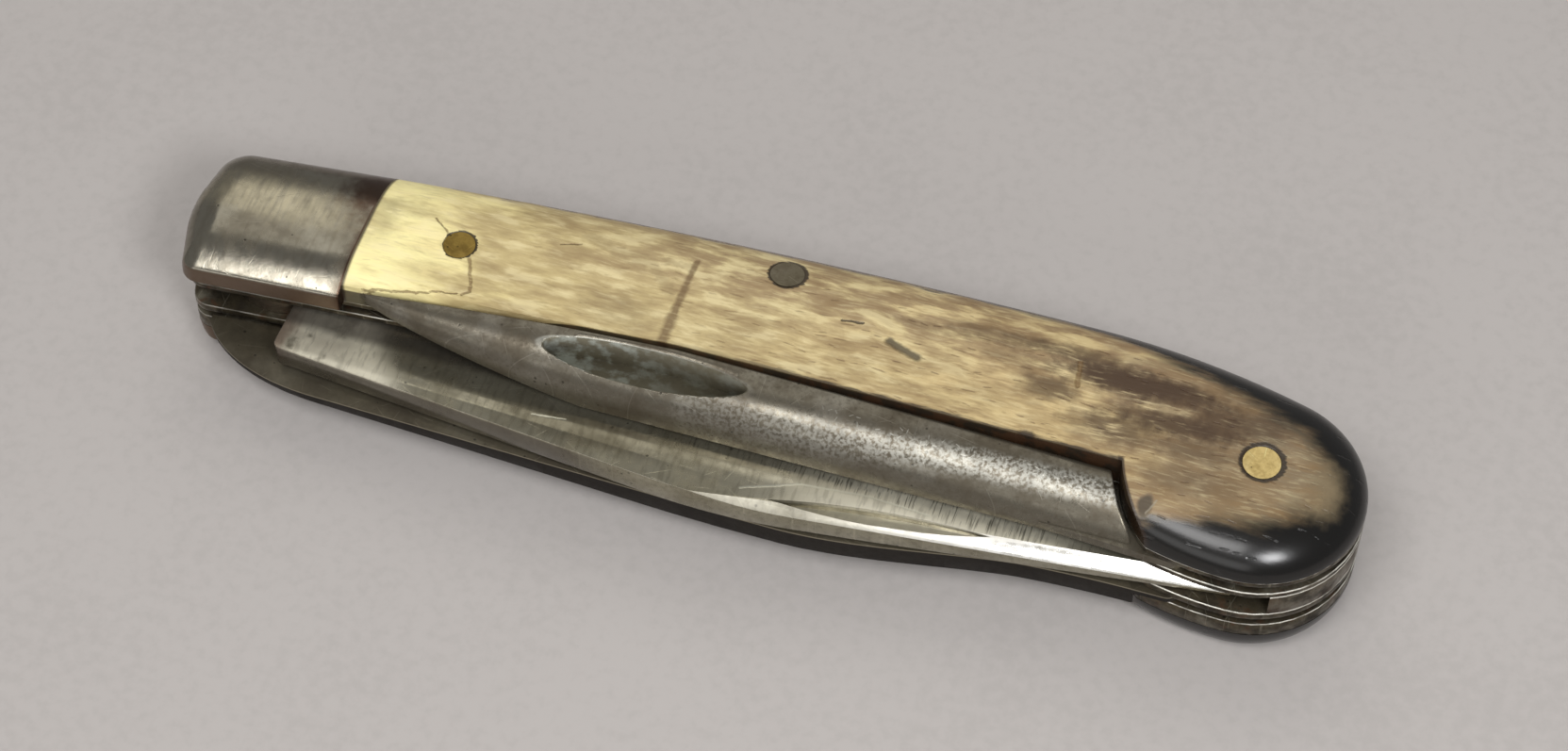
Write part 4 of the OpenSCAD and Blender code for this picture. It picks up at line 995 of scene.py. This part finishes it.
def bladeExtra(tree, place, colour, rough, height):
    # short grinding lines across the flank, two long arcs, stains by the shoulder, painted shade on the flank and the
    # spine's side, and a painted highlight on the strip
    look = bladeMarks
    x, y, z = axes(tree, place)
    turned = combine(tree, y, x, z)
    hatch = soften(tree, use(tree, streaks, Place=turned, Length=2.6, Width=0.16, Detail=2.0, Seed=8.0), 0.56, 0.66)
    hatch = times(tree, hatch, soften(tree, x, -9.0, -2.0), soften(tree, x, 34.0, 26.0),
                  soften(tree, calc(tree, "ADD", y, times(tree, x, 0.02)), -9.6, -8.6))
    arcs = highest(tree, *[markChain(tree, place, p, width, 0.15) for p, width in look["arcs"]])
    stain = use(tree, clouds, Place=place, Size=2.2, Low=0.5, High=0.7, Seed=51.0)
    stain = times(tree, stain, soften(tree, x, -30.0, -38.0))
    mottle = soften(tree, use(tree, streaks, Place=turned, Length=2.2, Width=0.45, Detail=4.0, Seed=19.0), 0.48, 0.66)
    corner = soften(tree, calc(tree, "ADD", x, times(tree, stain, 1.5)), -37.4, -39.6)
    slanted = calc(tree, "ADD", x, calc(tree, "MULTIPLY", y, 0.6))
    dull = highest(tree, soften(tree, slanted, -33.0, -37.0), soften(tree, x, 0.0, 14.0, 0.0, 0.9))
    dull = times(tree, dull, soften(tree, z, bladeTop - 0.5, bladeTop - 0.3))
    colour = paint(tree, times(tree, dull, 0.95), colour, screen(*look["dull"]))
    rough = calc(tree, "ADD", rough, times(tree, dull, 0.34))
    colour = paint(tree, times(tree, mottle, 0.25), colour, screen(*look["dark"]))
    colour = paint(tree, times(tree, hatch, 0.65), colour, screen(*look["hatch"]))
    # painted shade: a dark patch on the flank below the spike stands in for the spike's dark reflection there
    paintedFlankShade = use(tree, spotMark, Place=place, Centre=(-12.5, -10.4, bladeTop), Size=(7.0, 1.5, 9.0), Wobble=1.0,
                Soft=0.6)
    colour = paint(tree, times(tree, paintedFlankShade, 0.5), colour, screen(*look["dark"]))
    colour = paint(tree, times(tree, stain, 0.8), colour, screen(*look["dark"]))
    colour = paint(tree, times(tree, corner, 0.7), colour, screen(*look["rust"]))
    # painted highlight: the faces that lean up, the swedge and the bevels, are painted pale, more towards the shoulder
    bevel = wearAndSheenShare(tree)
    highlightGrowth = soften(tree, x, 6.0, 24.0, 0.25, 1.0)  # the narrow strip brightens towards the shoulder
    paintedHighlightStrip = times(tree, bevel, highlightGrowth, soften(tree, noiseAt(tree, place, 1.4, 3.0), 0.3, 0.5, 0.75, 1.0))
    # painted shade: the faces below the blade's flat top, its spine's side among them, are darkened at the left
    side = times(tree, soften(tree, z, bladeTop - 0.12, bladeTop - 0.22), soften(tree, x, -8.0, -14.0))
    colour = paint(tree, times(tree, side, 0.75), colour, screen(*look["side"]))
    colour = paint(tree, times(tree, arcs, 0.75), colour, screen(*look["pale"]))
    colour = paint(tree, times(tree, paintedHighlightStrip, 0.9), colour, screen(*look["rubbed"]))
    rough = calc(tree, "ADD", rough, calc(tree, "ADD", times(tree, paintedHighlightStrip, 0.1),
                                          times(tree, bevel, soften(tree, highlightGrowth, 1.0, 0.25, 0.0, 0.3))))
    return colour, rough, calc(tree, "SUBTRACT", height, calc(tree, "ADD", times(tree, hatch, 1.5), times(tree,
                                                                                                          arcs, 2.0)))


spikeMarks = dict(band=[(-4.0, -7.6), (8.0, -7.2), (20.0, -6.2), (31.5, -5.6)], bandPale=(184, 183, 174), pale=(206,
                                                                                                                206,
                                                                                                                196), nickDark=(106, 101, 85), nickBlue=(150, 153, 144))


def spikeExtra(tree, place, colour, rough, height):
    # dark nail nick with a painted highlight on its rim, bright nicks on the top with a painted glint along the
    # highlight line, and a painted highlight band along the lower roll
    look, s = spikeMarks, spikeShape
    x, y, z = axes(tree, place)
    centre = (buttX - s["reach"] + s["nickX"], -s["edgeY"] + s["nickY"], 0.0)
    turn = tree.nodes.new("ShaderNodeMapping")
    turn.vector_type = "TEXTURE"
    turn.inputs["Location"].default_value = centre
    turn.inputs["Rotation"].default_value = (0.0, 0.0, math.radians(s["nickA"]))
    turn.inputs["Scale"].default_value = (s["nickLen"] / 2, s["nickW"] / 2, 1.0)
    tree.links.new(place, turn.inputs["Vector"])
    u, v, _ = axes(tree, turn.outputs[0])
    oval = calc(tree, "SQRT", calc(tree, "ADD", calc(tree, "MULTIPLY", u, u), calc(tree, "MULTIPLY", v, v)))
    inside = soften(tree, oval, 1.02, 1.01)
    # painted highlight: a pale line along the nick's upper rim
    rim = times(tree, soften(tree, oval, 1.1, 1.05), soften(tree, oval, 1.01, 1.02), soften(tree, v, -0.5, 0.3),
                soften(tree, u, 0.9, -0.5, 0.2, 1.0))
    # bright scratches with a painted glint, kept to the line where the spike's highlight falls
    specks = use(tree, scratches, Place=place, Cell=0.6, Width=0.06, Turn=0.4, Spread=3.1, Share=0.45, Seed=70.0)
    specks = times(tree, specks, soften(tree, calc(tree, "ABSOLUTE", calc(tree, "ADD", y, 5.7)), 1.0, 0.3),
                   soften(tree, x, 2.0, 12.0))
    bluish = use(tree, clouds, Place=place, Size=1.6, Low=0.45, High=0.65, Seed=61.0)
    bluish = times(tree, bluish, soften(tree, u, 0.3, -0.3, 0.35, 1.0))
    floorColour = paint(tree, bluish, screen(*look["nickDark"]), screen(*look["nickBlue"]))
    grain = noiseAt(tree, place, 3.2, 3.0)
    colour = paint(tree, times(tree, soften(tree, grain, 0.52, 0.7), 0.35), colour,
                   screen(*metalLook["spike"]["tarnish"]))
    # painted highlight: a pale band along the lower roll where the highlight falls
    band = markChain(tree, place, look["band"], 1.5, 0.8)
    band = times(tree, band, soften(tree, grain, 0.36, 0.62), soften(tree, x, -6.0, 22.0, 0.25, 0.7))
    colour = paint(tree, band, colour, screen(*look["bandPale"]))
    colour = paint(tree, times(tree, inside, 0.95), colour, floorColour)
    colour = paint(tree, highest(tree, times(tree, rim, 0.5), times(tree, specks, 0.35)), colour, screen(*look["pale"]))
    height = calc(tree, "ADD", height, times(tree, grain, 0.8))
    rough = calc(tree, "ADD", rough, times(tree, calc(tree, "SUBTRACT", grain, 0.5), 0.4))
    return colour, calc(tree, "ADD", rough, times(tree, inside, 0.2)), calc(tree, "SUBTRACT", height, times(tree,
                                                                                                            specks,
                                                                                                            1.0))


def sheepExtra(tree, place, colour, rough, height):
    # the outer side is painted nearly black as painted shade, under a thin painted highlight along the rim
    x, y, z = axes(tree, place)
    top = layers["innerBack"] - layers["sidePlay"]
    paintedShadeSide = times(tree, soften(tree, z, top - 0.16, top - 0.2), soften(tree, x, 39.0, 37.5))  # not the tang
    line = times(tree, soften(tree, z, top - 0.02, top - 0.05), soften(tree, paintedShadeSide, 1.0, 0.0))
    # painted highlight: a thin pale line along the rim of the inner face
    colour = paint(tree, times(tree, line, 0.6), colour, screen(150, 142, 122))
    # painted shade: the outer side is painted nearly black
    colour = paint(tree, times(tree, paintedShadeSide, 0.95), colour, screen(34, 30, 27))
    return colour, calc(tree, "ADD", rough, times(tree, paintedShadeSide, 0.2)), height


def stackExtra(tree, place, colour, rough, height):
    # grime and rust gather in patches on the liners and springs, and the edges that lean up get a painted highlight
    grime = use(tree, clouds, Place=place, Size=1.7, Low=0.44, High=0.7, Seed=81.0)
    rust = use(tree, clouds, Place=place, Size=1.1, Low=0.54, High=0.74, Seed=93.0)
    colour = paint(tree, times(tree, grime, 0.8), colour, screen(44, 38, 30))
    colour = paint(tree, times(tree, rust, 0.5), colour, screen(96, 60, 38))
    x, _, _ = axes(tree, place)
    # painted highlight: the edges that lean up are painted near white
    edge = times(tree, wearAndSheenShare(tree), soften(tree, noiseAt(tree, place, 0.5, 3.0), 0.35, 0.55, 0.3, 1.0),
                 soften(tree, x, -36.0, -30.0, 0.3, 1.0))
    colour = paint(tree, edge, colour, screen(244, 242, 232))
    return colour, calc(tree, "ADD", rough, times(tree, grime, 0.2)), height


bolsterMetal = makeMetal("bolsterMetal", metalLook["bolster"], bolsterExtra)
bladeSteel = makeMetal("bladeSteel", metalLook["blade"], bladeExtra)
spikeSteel = makeMetal("spikeSteel", metalLook["spike"], spikeExtra)
backBladeSteel = makeMetal("backBladeSteel", metalLook["backBlade"], sheepExtra)
linerBrass = makeMetal("linerBrass", metalLook["liner"], stackExtra)
springSteel = makeMetal("springSteel", metalLook["spring"], stackExtra)
pinBrass = makeMetal("pinBrass", metalLook["pinBrass"])
rivetBrass = makeMetal("rivetBrass", metalLook["rivetBrass"])
pinSteel = makeMetal("pinSteel", metalLook["pinSteel"])

finishes = [(frontScale, frontBone), (backScale, backBone), (frontBolster, bolsterMetal), (backBolster, bolsterMetal),
            (frontSpike, spikeSteel), (spikeTang, spikeSteel), (backBlade, backBladeSteel), (backBladeTang,
                                                                                             backBladeSteel),
            (mainBlade, bladeSteel)]
finishes += [(plates[n], springSteel if "spring" in n else linerBrass) for n in plates]
finishes += [(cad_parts[n], m) for n, m in dict(
    butt_pin=pinBrass, front_scale_rivet=rivetBrass, back_scale_rivet=rivetBrass, spring_pin=pinSteel,
    bolster_pin=bolsterMetal, front_bolster_studs=bolsterMetal, back_bolster_studs=bolsterMetal).items()]
for piece, material in finishes:
    piece.data.materials.clear()
    piece.data.materials.append(material)
print("materials made", len(finishes))

stage = dict(floorColour=(183, 178, 175), speck=(168, 163, 160), floorSize=6.0, floorDrop=0.02)


def makeFloorPaint():
    # a pale sheet with a faint mottle
    m, tree, shader, place = startMaterial("paleFloor")
    mottle = calc(tree, "ADD", times(tree, noiseAt(tree, place, 0.9, 4.0), 0.6), times(tree, noiseAt(tree, place,
                                                                                                     0.05, 3.0), 0.4))
    colour = paint(tree, soften(tree, mottle, 0.42, 0.66, 0.0, 0.4), screen(*stage["floorColour"]),
                   screen(*stage["speck"]))
    finishMaterial(tree, shader, colour, 0.75, mottle, 0.01)
    return m


half = stage["floorSize"] / 2
floorMesh = bpy.data.meshes.new("floor")
floorMesh.from_pydata([(-half, -half, 0), (half, -half, 0), (half, half, 0), (-half, half, 0)], [], [(0, 1, 2, 3)])
floor = bpy.data.objects.new("floor", floorMesh)
floor.location.z = -stage["floorDrop"] * mm
bpy.context.scene.collection.objects.link(floor)
floorMesh.materials.append(makeFloorPaint())

view = dict(azimuth=17.65, elevation=55.0, distance=0.300, target=(0.00172, 0.00117, 0.00745), focal=3796.3,
            sensor=36.0, photoWidth=1663)  # distances in metres, the focal length in the photo's pixels
cameraData = bpy.data.cameras.new("camera")
cameraData.sensor_width = view["sensor"]
cameraData.lens = view["sensor"] * view["focal"] / view["photoWidth"]
camera = bpy.data.objects.new("camera", cameraData)
bpy.context.scene.collection.objects.link(camera)
azimuth, elevation = math.radians(view["azimuth"]), math.radians(view["elevation"])
toCamera = Vector((math.sin(azimuth) * math.cos(elevation), -math.cos(azimuth) * math.cos(elevation),
                   math.sin(elevation)))
camera.location = Vector(view["target"]) + view["distance"] * toCamera
camera.rotation_euler = toCamera.to_track_quat("Z", "Y").to_euler()
bpy.context.scene.camera = camera

lamps = dict(  # way is the direction from the knife, bright is the lamp's own brightness against a white of one
    left=dict(way=(-0.12, -0.43, 0.9), distance=0.55, size=(0.24, 0.18), bright=8.0, colour=(1.0, 0.99, 0.985)),
    front=dict(way=(-0.15, -0.85, 0.42), distance=1.0, size=(0.8, 0.36), bright=1.45, colour=(1.0, 0.99, 0.98)),
    back=dict(way=(-0.174, 0.547, 0.819), distance=0.7, size=(0.5, 0.4), bright=1.0, colour=(1.0, 0.97, 0.9)),
    right=dict(way=(0.46, -0.5, 0.76), distance=0.42, size=(0.1, 0.1), bright=24.0, colour=(0.985, 0.99, 1.0)))
worldLook = dict(colour=(1.0, 0.985, 0.97), strength=0.28)


def softLight(name, way, distance, size, bright, colour):
    # power that gives a square lamp this brightness is pi times its area times the brightness
    data = bpy.data.lights.new(name, "AREA")
    data.shape = "RECTANGLE"
    data.size, data.size_y = size
    data.energy = math.pi * size[0] * size[1] * bright
    data.color = colour
    lamp = bpy.data.objects.new(name, data)
    lamp.location = Vector(way).normalized() * distance
    lamp.rotation_euler = Vector(way).to_track_quat("Z", "Y").to_euler()
    bpy.context.scene.collection.objects.link(lamp)


for name, look in lamps.items():
    softLight(name, **look)
world = bpy.data.worlds.new("softWorld")
world.use_nodes = True
world.node_tree.nodes["Background"].inputs[0].default_value = (*worldLook["colour"], 1)
world.node_tree.nodes["Background"].inputs[1].default_value = worldLook["strength"]
bpy.context.scene.world = world
bpy.context.scene.view_settings.view_transform = "Standard"
print("stage, camera and lights set")
